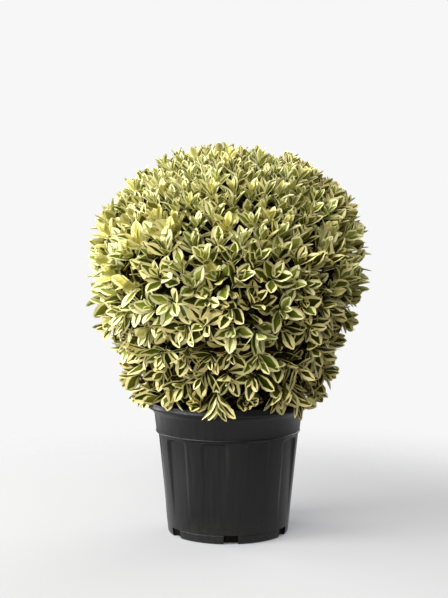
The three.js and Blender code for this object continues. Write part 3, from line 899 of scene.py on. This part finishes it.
def main_twigs(masses, chance):
    """The twigs of the solids, from each mass's fork to just under the outline."""
    on_outline, outwards, _ = shoot_plan(TWIG_SPACING, TWIG_SWAY, chance)
    tips = on_outline - outwards * TWIG_DEPTH
    owners = nearest_mass(tips, masses)
    forks = np.array([mass["fork"] for mass in masses])[owners]
    return {"owner": owners, "start": forks, "bend": tips - outwards * TWIG_RUN, "tip": tips}


def leafy_shoots(masses, chance):
    """The finer shoots, outer and inner: each one's tip, its way, its mass, its reach and its tone."""
    outer = shoot_plan(SHOOT_SPACING, SHOOT_SWAY, chance)
    inner = shoot_plan(INNER_SPACING, SHOOT_SWAY, chance)
    on_outline, outwards, shares = (np.concatenate(pair) for pair in zip(outer, inner))
    count = len(shares)
    is_inner = np.arange(count) >= len(outer[2])
    lift = down_the_ball(shares, LIFT)[:, None]
    hangs = (shares > HANGING_FROM) & (chance.uniform(0, 1, count) < HANGING_SHARE) & ~is_inner
    over_rim = square_to(on_outline, UP)
    heading = np.where(hangs[:, None], over_rim - UP * HANGING_SLOPE, outwards + UP * lift)
    height = RIM_SHOOTS + chance.uniform(0, HANGING_SWAY, (count, 1))
    on_rim = over_rim * (RIM_RADIUS + HANGING_OUT) + UP * height
    towards = unit(on_outline - BALL_MIDDLE)
    # painted light: sprays on the side towards the key window take paler tints
    lit_side_paleness = PAINTED_LIGHT_TONE * np.clip(towards @ PAINTED_LIGHT_SIDE, *PAINTED_LIGHT_BOUNDS)
    tufts = unit(chance.normal(0, 1, (TUFTS, 3)))
    nearness = (towards @ tufts.T).max(axis=1)
    fuller = SHOULDER_REACH * smooth_step(towards @ SHOULDER, *SHOULDER_SIZE)
    return {
        "tip": np.where(hangs[:, None], on_rim, on_outline - outwards * LEAF_LENGTH / 2),
        "along": unit(heading + chance.normal(0, SHOOT_TILT, (count, 3))),
        "hangs": hangs,
        "reach": BETWEEN_TUFTS + TUFT_REACH * smooth_step(nearness, *TUFT_SIZE) + fuller,
        "outwards": outwards,
        "owner": nearest_mass(on_outline, masses),
        "tone": down_the_ball(shares, TONE) + lit_side_paleness + chance.normal(0, TONE_SWAY, count),
        "share": shares,
        "inner": is_inner,
        "lowest": np.where(hangs, SKIRT_TIPS, POT_HEIGHT + RIM_CLEARANCE),
    }


def leaf_plan(shoots, chance):
    """Opposite pairs of leaves on each shoot, each pair a quarter turn on, as arrays of shoots by leaves."""
    along, shares = shoots["along"], shoots["share"]
    count = len(along)
    side = square_to(chance.normal(0, 1, (count, 3)), along)
    other = np.cross(along, side)
    openness = down_the_ball(shares, OPENNESS)
    droop = (down_the_ball(shares, DROOP) + HANGING_DROOP * shoots["hangs"]) / len(LEAF_PAIRS)
    leaf_size = down_the_ball(shares, LEAF_SIZE)
    leaves = {"length": [], "face": [], "back": [], "size": []}
    for level, pair in enumerate(LEAF_PAIRS):
        for half in (0, math.pi):
            angle = half + level * math.pi / 2 + chance.normal(0, PAIR_SWAY, count)
            away = side * np.cos(angle)[:, None] + other * np.sin(angle)[:, None]
            spread = math.radians(pair["spread"]) * openness * (1 + chance.normal(0, LEAF_SWAY, count))
            cosine, sine = np.cos(spread)[:, None], np.sin(spread)[:, None]
            length = unit(along * cosine + away * sine - UP * level * droop[:, None])
            leaves["length"].append(length)
            leaves["face"].append(square_to(along * sine - away * cosine, length))
            leaves["back"].append(np.full(count, pair["back"]))
            leaves["size"].append(pair["size"] * leaf_size * (1 + chance.normal(0, LEAF_SWAY / 2, count)))
    plan = {name: np.stack(values, axis=1) for name, values in leaves.items()}
    settle_shoots(shoots, plan, chance)
    plan["root"] = leaf_roots(shoots, plan)
    lay_over_rim(plan, shoots["lowest"])
    return plan


def leaf_roots(shoots, plan):
    return shoots["tip"][:, None, :] - shoots["along"][:, None, :] * plan["back"][..., None]


def settle_shoots(shoots, plan, chance):
    """Each shoot slides along its way out until its furthest leaf tip just reaches the clipped outline."""
    shares = shoots["share"]
    sway = np.clip(chance.normal(REACH_BIAS, 1, len(shares)), -REACH_LIMIT, REACH_LIMIT) * REACH_SWAY
    depth = shoots["inner"] * down_the_ball(shares, INNER_DEPTH)
    clipped = down_the_ball(shares, TOP_REACH) + down_the_ball(shares, SKIRT_REACH)
    allowed = sway + shoots["reach"] + clipped - depth
    for _ in range(REACH_PASSES):
        ends = leaf_roots(shoots, plan) + plan["length"] * (plan["size"] * LEAF_LENGTH)[..., None]
        out = np.where(shoots["hangs"], 0, excess(ends).max(axis=1) - allowed)
        shoots["tip"] -= shoots["outwards"] * out[:, None]
        shoots["tip"][:, 2] = np.maximum(shoots["tip"][:, 2], RIM_SHOOTS)


def leaf_outlines(plan):
    """Five points of each leaf: its root, its middle, its two sides and its tip."""
    size = plan["size"][..., None]
    half = plan["length"] * size * LEAF_LENGTH / 2
    side = np.cross(plan["face"], plan["length"]) * size * LEAF_WIDTH / 2
    middle = plan["root"] + half
    return np.stack([plan["root"], middle, middle + side, middle - side, middle + half], axis=2)


def lay_over_rim(plan, lowest):
    """A leaf that meets the pot bends up and outwards, a little at a time, until it is clear of it."""
    outwards, up = RIM_BEND
    bend = square_to(plan["root"], UP) * outwards + UP * up
    for _ in range(RIM_BENDS):
        meets = ~clear_of_pot(leaf_outlines(plan), lowest).all(axis=2)
        plan["length"] = np.where(meets[..., None], unit(plan["length"] + bend), plan["length"])
        plan["face"] = square_to(plan["face"], plan["length"])


def quaternions(x_axis, y_axis, z_axis):
    """Rotations from the axes that they turn X, Y and Z to."""
    (xx, xy, xz), (yx, yy, yz), (zx, zy, zz) = x_axis.T, y_axis.T, z_axis.T
    w = np.sqrt(np.maximum(0, 1 + xx + yy + zz)) / 2
    x = np.copysign(np.sqrt(np.maximum(0, 1 + xx - yy - zz)) / 2, yz - zy)
    y = np.copysign(np.sqrt(np.maximum(0, 1 - xx + yy - zz)) / 2, zx - xz)
    z = np.copysign(np.sqrt(np.maximum(0, 1 - xx - yy + zz)) / 2, xy - yx)
    return np.stack([w, x, y, z], axis=1)


# Leaves

def leaf_shape(name, kind, green_share, chance):
    """One leaf along +X, closed, with its upper face to +Z and an uneven margin."""
    width = kind["width"] * (1 + chance.uniform(-WIDTH_SWAY, WIDTH_SWAY))
    fold = chance.uniform(*kind["fold"])
    arch = chance.uniform(*ARCH) * LEAF_LENGTH
    twist = chance.normal(0, LEAF_TWIST)
    top = []
    for share, fullness in kind["rows"]:
        half = fullness * width / 2
        green = green_share * (1 - TIP_MARGIN * smooth_step(share, *TIP_STRETCH))
        inner = half * np.clip(green + chance.normal(0, MARGIN_SWAY, 2), *GREEN_BOUNDS)
        wave = chance.normal(0, EDGE_WAVE, 2) * width
        row = []
        for y, lift in ((-half, wave[0]), (-inner[0], 0), (0, 0), (inner[1], 0), (half, wave[1])):
            row.append((share * LEAF_LENGTH, y, fold * abs(y) - arch * share**2 + twist * share * y + lift))
        top.append(row)
    top = np.array(top)
    under = top[:, GREEN_COLUMNS] - UP * LEAF_THICKNESS
    ends = [(0, 0, 0), (LEAF_LENGTH, 0, -arch)]
    root, tip = range(len(ends))
    points = np.concatenate([ends, top.reshape(-1, 3), under.reshape(-1, 3)])
    upper = len(ends) + np.arange(top.size // 3).reshape(top.shape[:2])
    lower = upper.copy()
    lower[:, GREEN_COLUMNS] = upper.max() + 1 + np.arange(under.size // 3).reshape(under.shape[:2])
    strips = (MARGIN, LEFT_HALF, RIGHT_HALF, MARGIN), (MARGIN, UNDERSIDE, UNDERSIDE, MARGIN)
    faces, parts, sides = [], [], []
    for grid, strip_parts, is_top in zip((upper, lower), strips, (True, False)):
        for column, part in enumerate(strip_parts):
            left, right = ([root, *grid[:, column + side].tolist(), tip] for side in (0, 1))
            for row in range(len(top) + 1):
                corners = (left[row], right[row], right[row + 1], left[row + 1])
                faces.append(tuple(dict.fromkeys(corners)))
                parts.append(MARGIN if row == len(top) else part)
                sides.append(is_top)
    mesh = mesh_of(name, points, faces=faces)
    set_attribute(mesh, "part", "INT", parts, "FACE")
    keep_rim_sharp(mesh, sides)
    return bpy.data.objects.new(name, mesh)


def keep_rim_sharp(mesh, sides):
    """Faces turn outwards, and the edge between a leaf's two sides stays crisp."""
    shape = bmesh.new()
    shape.from_mesh(mesh)
    bmesh.ops.recalc_face_normals(shape, faces=shape.faces)
    for edge in shape.edges:
        first, second = (sides[face.index] for face in edge.link_faces)
        edge.smooth = first == second
    shape.to_mesh(mesh)
    shape.free()


def make_leaves(masses, shoots, plan, materials, chance):
    """One piece of leaves for each mass."""
    kinds = [(kind, green) for kind in LEAF_KINDS for green in GREEN_SHARES]
    shapes = collection_of(
        "leaf_shapes", [leaf_shape(f"leaf_{number:02}", *kind, chance) for number, kind in enumerate(kinds)]
    )
    tree = spray_tree(materials)
    counts = plan["size"].shape
    owners = np.broadcast_to(shoots["owner"][:, None], counts)
    pairs = np.arange(counts[1]) // 2
    tones = shoots["tone"][:, None] + TONE_BY_PAIR * (pairs - pairs.mean())
    tints = np.clip(np.rint(tones + chance.normal(0, LEAF_TONE_SWAY, counts)), 0, OLD_AND_SHADED_TINT - 1).astype(int)
    # inner shoots and each shoot's lowest pair take the nearly black old tint: partly old leaves' own colour,
    # partly painted shade deep in the ball
    tints[shoots["inner"][:, None] | (pairs == OLD_PAIR)] = OLD_AND_SHADED_TINT
    is_open = chance.uniform(0, 1, counts) < down_the_ball(shoots["share"], OPEN_LEAVES)[:, None]
    shape_numbers = is_open * len(GREEN_SHARES) + chance.integers(0, len(GREEN_SHARES), counts)
    outlines = leaf_outlines(plan)
    free = clear_of_pot(outlines, shoots["lowest"]).all(axis=2)
    free &= excess(outlines).max(axis=2) < FURTHEST_REACH
    free[shoots["inner"], :INNER_BARE] = False
    shared = {"Leaf Shapes": shapes, "Size Sway": SIZE_SWAY, "Roll Sway": ROLL_SWAY}
    pieces = []
    for number, mass in enumerate(masses):
        mine = free & (owners == number)
        length, face = plan["length"][mine], plan["face"][mine]
        start = mesh_of(f"leaf_places_{mass['name']}", plan["root"][mine])
        attributes = {
            "turn": ("QUATERNION", quaternions(length, np.cross(face, length), face)),
            "size": ("FLOAT", plan["size"][mine]),
            "shape": ("INT", shape_numbers[mine]),
            "tint": ("INT", tints[mine]),
        }
        for name, (kind, values) in attributes.items():
            set_attribute(start, name, kind, values)
        piece = grown(f"leaves_{mass['name']}", start, tree, {**shared, "Seed": GROWTH_SEED + number})
        for name in (*attributes, "part"):
            piece.data.attributes.remove(piece.data.attributes[name])
        pieces.append(piece)
    put_away(shapes)
    return pieces


# Limbs and twigs

def line_mesh(name, lines):
    """A mesh of separate lines, each a pair of its points and its thicknesses."""
    points = np.concatenate([line for line, _ in lines])
    thickness = np.concatenate([thick for _, thick in lines])
    edges, first = [], 0
    for line, _ in lines:
        edges += [(index, index + 1) for index in range(first, first + len(line) - 1)]
        first += len(line)
    mesh = mesh_of(name, points, edges=edges)
    set_attribute(mesh, "thickness", "FLOAT", thickness)
    return mesh


def limb_line(start, bend, end, from_radius, to_radius, step):
    steps = max(FEWEST_STEPS, round(np.linalg.norm(end - start) / step))
    return bezier(start, bend, end, steps), np.linspace(from_radius, to_radius, steps + 1)


def stem_line():
    heights = np.arange(COMPOST_TOP + CLEARANCE, STEM_TIP, LIMB_STEP)
    points = np.array([point_on_stem(height) for height in [*heights, STEM_TIP]])
    share = np.linspace(0, 1, len(points))
    flare = (STEM_FOOT_RADIUS - STEM_RADIUS) * np.maximum(0, 1 - share / FLARE_SHARE) ** 2
    return points, STEM_RADIUS + (STEM_TIP_RADIUS - STEM_RADIUS) * share + flare


def make_limbs(masses, tree, bark):
    """The stem and the boughs, each with the bark's relief."""
    values = {"Sides": LIMB_SIDES, "Relief": BARK_RELIEF, "Relief Scale": BARK_RIDGES, "Bark": bark}
    lines = {"stem": stem_line()}
    for mass in masses:
        thick = BOUGH_RADIUS if "leaves_at" in mass else STEM_TIP_RADIUS
        lines[f"bough_{mass['name']}"] = limb_line(*mass["bough"], thick, BOUGH_TIP_RADIUS, LIMB_STEP)
    for node_name, line in lines.items():
        piece = grown(f"bark_of_{node_name}", line_mesh(node_name, [line]), tree, values)
        handed_over(piece, "bark", node_name)


def shoot_line(start, tip, along):
    """A shoot bends out of its twig and ends in a straight leafy run."""
    knee = tip - along * SHOOT_RUN
    bent = bezier(start, knee - along * SHOOT_RUN / 2, knee, SHOOT_BEND_STEPS)
    points = np.concatenate([bent, [tip - along * SHOOT_RUN / 2, tip]])
    return points, np.linspace(SHOOT_RADIUS, SHOOT_TIP_RADIUS, len(points))


def make_twigs(masses, twigs, shoots, tree, bark, chance):
    """Each mass's stem, its twigs and its finer shoots, as one piece a mass."""
    values = {"Sides": TWIG_SIDES, "Relief": TWIG_RELIEF, "Relief Scale": TWIG_RIDGES, "Bark": bark}
    pieces = []
    for number, mass in enumerate(masses):
        mine = np.flatnonzero(twigs["owner"] == number)
        curves = [(twigs["start"][index], twigs["bend"][index], twigs["tip"][index]) for index in mine]
        spines = np.array([bezier(*curve, SPINE_STEPS) for curve in curves])
        lines = [limb_line(*mass["stem"], BOUGH_TIP_RADIUS, TWIG_RADIUS, LIMB_STEP)]
        lines += [limb_line(*curve, TWIG_RADIUS, TWIG_TIP_RADIUS, TWIG_STEP) for curve in curves]
        for index in np.flatnonzero(shoots["owner"] == number):
            tip, along = shoots["tip"][index], shoots["along"][index]
            nearest = np.argmin(np.linalg.norm(spines[:, -1] - tip, axis=1))
            start = spines[nearest, chance.integers(*SPINE_FORKS)]
            lines.append(shoot_line(start, tip, along))
        pieces.append(grown(f"twigs_{mass['name']}", line_mesh(mass["name"], lines), tree, values))
    return pieces


# The pot

def arc(middle, radius, start, end, steps):
    """Points on an arc between two angles in degrees."""
    angles = np.radians(np.linspace(start, end, steps))
    return [(middle[0] + radius * math.cos(angle), middle[1] + radius * math.sin(angle)) for angle in angles]


def body_radius(height):
    return BASE_RADIUS + (BODY_TOP_RADIUS - BASE_RADIUS) * height / COLLAR_LOW


def wall_rows():
    """The heights of the body's rows, closer round the mould line and under the collar."""
    even = np.arange(BASE_ROUND, COLLAR_LOW - POT_ROW, POT_ROW)
    line = MOULD_LINE + MOULD_LINE_WIDTH * np.linspace(-2, 2, MOULD_LINE_ROWS)
    close = np.linspace(FLUTE_TOP - FLUTE_CORNER, COLLAR_LOW - COLLAR_ROUND, COLLAR_ROWS)
    return np.unique(np.round(np.concatenate([even, line, close]), 5))


def pot_profile():
    """The wall's section as radius and height, from the underside's middle round to the floor's middle."""
    heights = wall_rows()
    outside = [
        (body_radius(z) - MOULD_LINE_DEPTH * math.exp(-(((z - MOULD_LINE) / MOULD_LINE_WIDTH) ** 2)), z)
        for z in heights
    ]
    inside = [(body_radius(z) - WALL, z) for z in heights[::-1][::2]]
    collar_edge = COLLAR_LOW_RADIUS - COLLAR_ROUND + COLLAR_BEAD
    rim_low = COLLAR_HIGH + RIM_SLOPE + RIM_ROUND
    rim_edge = RIM_RADIUS - RIM_ROUND
    return np.array([
        (0.0, 0.0),
        (BASE_RADIUS / 2, 0.0),
        *arc((BASE_RADIUS - BASE_ROUND, BASE_ROUND), BASE_ROUND, -90, -10, 5),
        *outside,
        *arc((collar_edge, COLLAR_LOW + COLLAR_ROUND), COLLAR_ROUND, -90, 60, 8),
        (COLLAR_LOW_RADIUS, COLLAR_LOW + 2 * COLLAR_ROUND + COLLAR_BEAD),
        (COLLAR_HIGH_RADIUS, COLLAR_HIGH - COLLAR_ROUND),
        (COLLAR_HIGH_RADIUS + COLLAR_ROUND, COLLAR_HIGH),
        (rim_edge - RIM_ROUND, COLLAR_HIGH + RIM_SLOPE - RIM_ROUND / 2),
        *arc((rim_edge, rim_low), RIM_ROUND, -80, -20, 6),
        *arc((RIM_RADIUS - RIM_BEAD, rim_low + RIM_BEAD), RIM_BEAD, -60, 60, 5),
        (RIM_RADIUS - RIM_BEAD, rim_low + 3 * RIM_BEAD),
        *arc((rim_edge - RIM_BEAD, POT_HEIGHT - RIM_ROUND), RIM_ROUND, 0, 90, 7),
        (COLLAR_HIGH_RADIUS + COLLAR_ROUND, POT_HEIGHT),
        (COLLAR_HIGH_RADIUS, POT_HEIGHT - COLLAR_ROUND),
        (COLLAR_HIGH_RADIUS - WALL, COLLAR_HIGH),
        *inside,
        (body_radius(FLOOR) - WALL, FLOOR),
        (BASE_RADIUS / 2, FLOOR),
        (0.0, FLOOR),
    ])


def flute_press(height, angle):
    """How far the flutes press the wall in: deepest high up, with rounded upper corners, fading downwards."""
    period = math.tau / FLUTES
    off = np.abs((angle - FLUTE_PHASE + period / 2) % period - period / 2)
    corner = np.clip((height - (FLUTE_TOP - FLUTE_CORNER)) / FLUTE_CORNER, 0, 1)
    half = FLUTE_HALF - FLUTE_SLOPE * (1 - np.sqrt(1 - corner**2))
    across = 1 - smooth_step(off, half - FLUTE_SLOPE, half)
    fade = np.clip((height - FLUTE_LOW) / (FLUTE_TOP - FLUTE_LOW), 0, 1)
    under_collar = 1 - smooth_step(height, *(FLUTE_TOP + end for end in FLUTE_END))
    return FLUTE_DEPTH * across * fade * under_collar


def revolved(name, profile, columns, press):
    """A closed turned mesh whose wall is pressed in by press(height, angle)."""
    rows = len(profile) - 2
    angles = even_turns(columns)
    radius, height = profile[1:-1, 0][:, None], profile[1:-1, 1][:, None]
    radius = radius - np.where(radius > BASE_RADIUS / 2, press(height, angles[None, :]), 0)
    x, y = radius * np.sin(angles), -radius * np.cos(angles)
    points = np.stack([x, y, np.broadcast_to(height, x.shape)], axis=2).reshape(-1, 3)
    points = np.concatenate([points, [(0, 0, profile[0, 1]), (0, 0, profile[-1, 1])]])
    low_pole, high_pole = rows * columns, rows * columns + 1
    last = (rows - 1) * columns
    faces = []
    for column in range(columns):
        after = (column + 1) % columns
        faces.append((low_pole, after, column))
        faces.append((high_pole, last + column, last + after))
        for here in range(0, last, columns):
            above = here + columns
            faces.append((here + column, here + after, above + after, above + column))
    return mesh_of(name, points, faces=faces)


def notch_cutters():
    """The boxes that cut the drainage notches out of the wall and the floor's edge."""
    boxes = bmesh.new()
    for angle in NOTCH_PHASE + even_turns(NOTCHES):
        cosine, sine = math.cos(angle), math.sin(angle)
        for vert in bmesh.ops.create_cube(boxes, size=1)["verts"]:
            x = vert.co.x * NOTCH_WIDTH
            y = vert.co.y * 2 * NOTCH_DEPTH - BASE_RADIUS
            vert.co = (x * cosine - y * sine, x * sine + y * cosine, vert.co.z * 2 * NOTCH_HEIGHT)
    return object_of("notch_cutters", mesh_from(boxes, "notch_cutters"))


def make_pot(finish):
    pot = object_of("fluted_pot", revolved("fluted_pot", pot_profile(), POT_COLUMNS, flute_press), finish)
    cutters = notch_cutters()
    cut = pot.modifiers.new("notches", "BOOLEAN")
    cut.object = cutters
    cut.solver = "EXACT"
    settled(pot)
    bpy.data.objects.remove(cutters)
    pot.data.set_sharp_from_angle(angle=SHARP_EDGE)
    handed_over(pot, "pot_plastic", "pot")


# The compost

def make_compost(finish, chance):
    """The compost in the pot, with a rough top strewn with crumbs and bits of bark."""
    foot = FLOOR + CLEARANCE
    clear = WALL + 2 * CLEARANCE
    heights = np.linspace(foot, COMPOST_TOP - COMPOST_BEVEL, COMPOST_SIDE_ROWS)
    radii = np.linspace(COMPOST_EDGE, COMPOST_MIDDLE, COMPOST_TOP_ROWS)
    side = [(body_radius(z) - clear, z) for z in heights]
    top = [(radius, COMPOST_TOP) for radius in radii]
    profile = np.array([(0.0, foot), *side, *top, (0.0, COMPOST_TOP)])
    mesh = revolved("compost_fill", profile, COMPOST_COLUMNS, flute_press)
    points = np.empty(len(mesh.vertices) * 3)
    mesh.vertices.foreach_get("co", points)
    points = points.reshape(-1, 3)
    on_top = points[:, 2] > COMPOST_TOP - COMPOST_CRUST
    points[on_top, 2] -= chance.uniform(0, COMPOST_RELIEF, on_top.sum())
    mesh.vertices.foreach_set("co", points.ravel())
    handed_over(object_of("compost_fill", mesh, finish), "compost", "compost")
    shapes = crumb_shapes(chance)
    smallest, largest = CRUMB_SCALES
    crumbs = grown("compost_crumbs", crumb_bed(), crumb_tree(), {
        "Crumb Shapes": shapes,
        "Density": CRUMBS_PER_M2,
        "Smallest": smallest,
        "Largest": largest,
        "Seed": GROWTH_SEED,
        "Crumb Finish": finish,
    })
    put_away(shapes)
    handed_over(crumbs, "compost", "compost")


def crumb_bed():
    """The ring of compost between the stem's foot and the pot, where crumbs lie."""
    angles = even_turns(CRUMB_BED_SIDES)
    height = COMPOST_TOP - COMPOST_CRUST
    points, faces = [], []
    for radius in (STEM_FOOT_RADIUS + CRUMB_SIZE, COMPOST_EDGE):
        points += [(radius * math.cos(angle), radius * math.sin(angle), height) for angle in angles]
    for column in range(CRUMB_BED_SIDES):
        after = (column + 1) % CRUMB_BED_SIDES
        faces.append((column, after, CRUMB_BED_SIDES + after, CRUMB_BED_SIDES + column))
    return mesh_of("crumb_bed", points, faces=faces)


def crumb_shapes(chance):
    """Lumps, and slivers of bark."""
    shapes = []
    for number in range(CRUMB_KINDS):
        crumb = bmesh.new()
        bmesh.ops.create_icosphere(crumb, subdivisions=1, radius=CRUMB_SIZE / 2)
        stretch = chance.uniform(*ROUND_STRETCH, 3) if number < ROUND_KINDS else SLIVER_STRETCH
        for vert in crumb.verts:
            vert.co = np.array(vert.co) * stretch * chance.uniform(*CRUMB_DENTS)
        name = f"crumb_{number}"
        shapes.append(bpy.data.objects.new(name, mesh_from(crumb, name)))
    return collection_of("crumb_shapes", shapes)


# Stage, light and camera

def make_stage():
    """A pale floor that fades into the pale room in the distance, so no horizon shows. As it is seen it glows
    beyond the pot's foot, painted light that lightens the shadows on it.
    """
    angles = even_turns(FLOOR_SIDES)
    points = np.stack([np.sin(angles), -np.cos(angles), 0 * angles], axis=1) * FLOOR_RADIUS
    material, nodes, shader = new_material("pale_floor")
    path = nodes.add("ShaderNodeLightPath").node.outputs
    seen = nodes.math("MAXIMUM", path["Is Camera Ray"], path["Is Glossy Ray"])
    place = nodes.add("ShaderNodeTexCoord", output="Object")
    far = nodes.add("ShaderNodeVectorMath", {0: place}, "Value", operation="LENGTH")
    # no painted glow under the pot's foot and its notches
    painted_glow_beyond_pot = nodes.masked(far, BASE_RADIUS - NOTCH_DEPTH, BASE_RADIUS, FLOOR_PAINTED_GLOW)
    fade = nodes.masked(far, *FLOOR_FADE, interpolation_type="SMOOTHSTEP")
    from_below = nodes.add("ShaderNodeNewGeometry", output="Backfacing")
    nodes.feed(shader, {
        "Base Color": nodes.ranged(seen, FLOOR_BOUNCE, FLOOR_PALENESS),
        "Roughness": FLOOR_ROUGHNESS,
        "Specular IOR Level": 0.0,
        "Emission Color": (*FLOOR_GLOW_TINT, 1),
        "Emission Strength": nodes.math("MULTIPLY", seen, painted_glow_beyond_pot),
        "Alpha": nodes.math("SUBTRACT", fade, from_below, use_clamp=True),
    })
    mesh = mesh_of("pale_floor", points, faces=[tuple(range(FLOOR_SIDES))])
    object_of("pale_floor", mesh, material)


def make_light(name, place, size, power, colour):
    light = bpy.data.lights.new(name, "AREA")
    light.shape = "RECTANGLE"
    light.size, light.size_y = size
    light.energy = power
    light.color = colour
    lamp = bpy.data.objects.new(name, light)
    lamp.location = place
    aim = LIT_PLACE - np.array(place)
    level = math.hypot(aim[0], aim[1])
    lamp.rotation_euler = (math.atan2(level, -aim[2]), 0, math.atan2(-aim[0], aim[1]))
    scene.collection.objects.link(lamp)


def make_room():
    """The pale room: white as it is seen, with a little warm light from all sides."""
    world = bpy.data.worlds.new("pale_room")
    world.use_nodes = True
    nodes = Nodes(world.node_tree)
    path = nodes.add("ShaderNodeLightPath").node.outputs
    in_view = nodes.ranged(path["Is Camera Ray"], ROOM_LIGHT, ROOM_PALENESS)
    in_gloss = nodes.math("MULTIPLY", path["Is Glossy Ray"], ROOM_GLOSS)
    seen = nodes.math("MAXIMUM", path["Is Camera Ray"], path["Is Glossy Ray"])
    nodes.feed(world.node_tree.nodes["Background"].inputs, {
        "Strength": nodes.math("MAXIMUM", in_view, in_gloss),
        "Color": nodes.blended(seen, ROOM_TINT, WHITE),
    })
    scene.world = world


def make_camera():
    camera = bpy.data.cameras.new("camera")
    camera.sensor_fit = "AUTO"
    camera.sensor_width = SENSOR
    camera.lens = FOCAL_PIXELS * SENSOR / FRAME_HEIGHT_PIXELS
    stand = bpy.data.objects.new("camera", camera)
    stand.location = CAMERA_PLACE
    stand.rotation_euler = (math.pi / 2 - CAMERA_PITCH, 0, 0)
    scene.collection.objects.link(stand)
    scene.camera = stand
    scene.view_settings.view_transform = "Standard"


# The whole plant

def make_plant():
    chance = np.random.default_rng(GROWTH_SEED)
    surface = grain_group()
    limbs = limb_tree()
    bark = bark_material("stem_bark", STEM_COLOURS, surface)
    young_bark = bark_material("twig_bark", TWIG_COLOURS, surface)
    masses = mass_plan()
    twigs = main_twigs(masses, chance)
    shoots = leafy_shoots(masses, chance)
    plan = leaf_plan(shoots, chance)
    make_limbs(masses, limbs, bark)
    leaves = make_leaves(masses, shoots, plan, leaf_materials(surface), chance)
    twig_pieces = make_twigs(masses, twigs, shoots, limbs, young_bark, chance)
    for mass, leaf_piece, twig_piece in zip(masses, leaves, twig_pieces):
        handed_over(leaf_piece, "foliage", f"foliage_{mass['name']}")
        handed_over(twig_piece, "foliage", f"foliage_{mass['name']}")
    make_pot(pot_material(surface))
    make_compost(compost_material(surface), chance)


make_camera()
make_stage()
for light_name, light in LIGHTS.items():
    make_light(light_name, **light)
make_room()
make_plant()
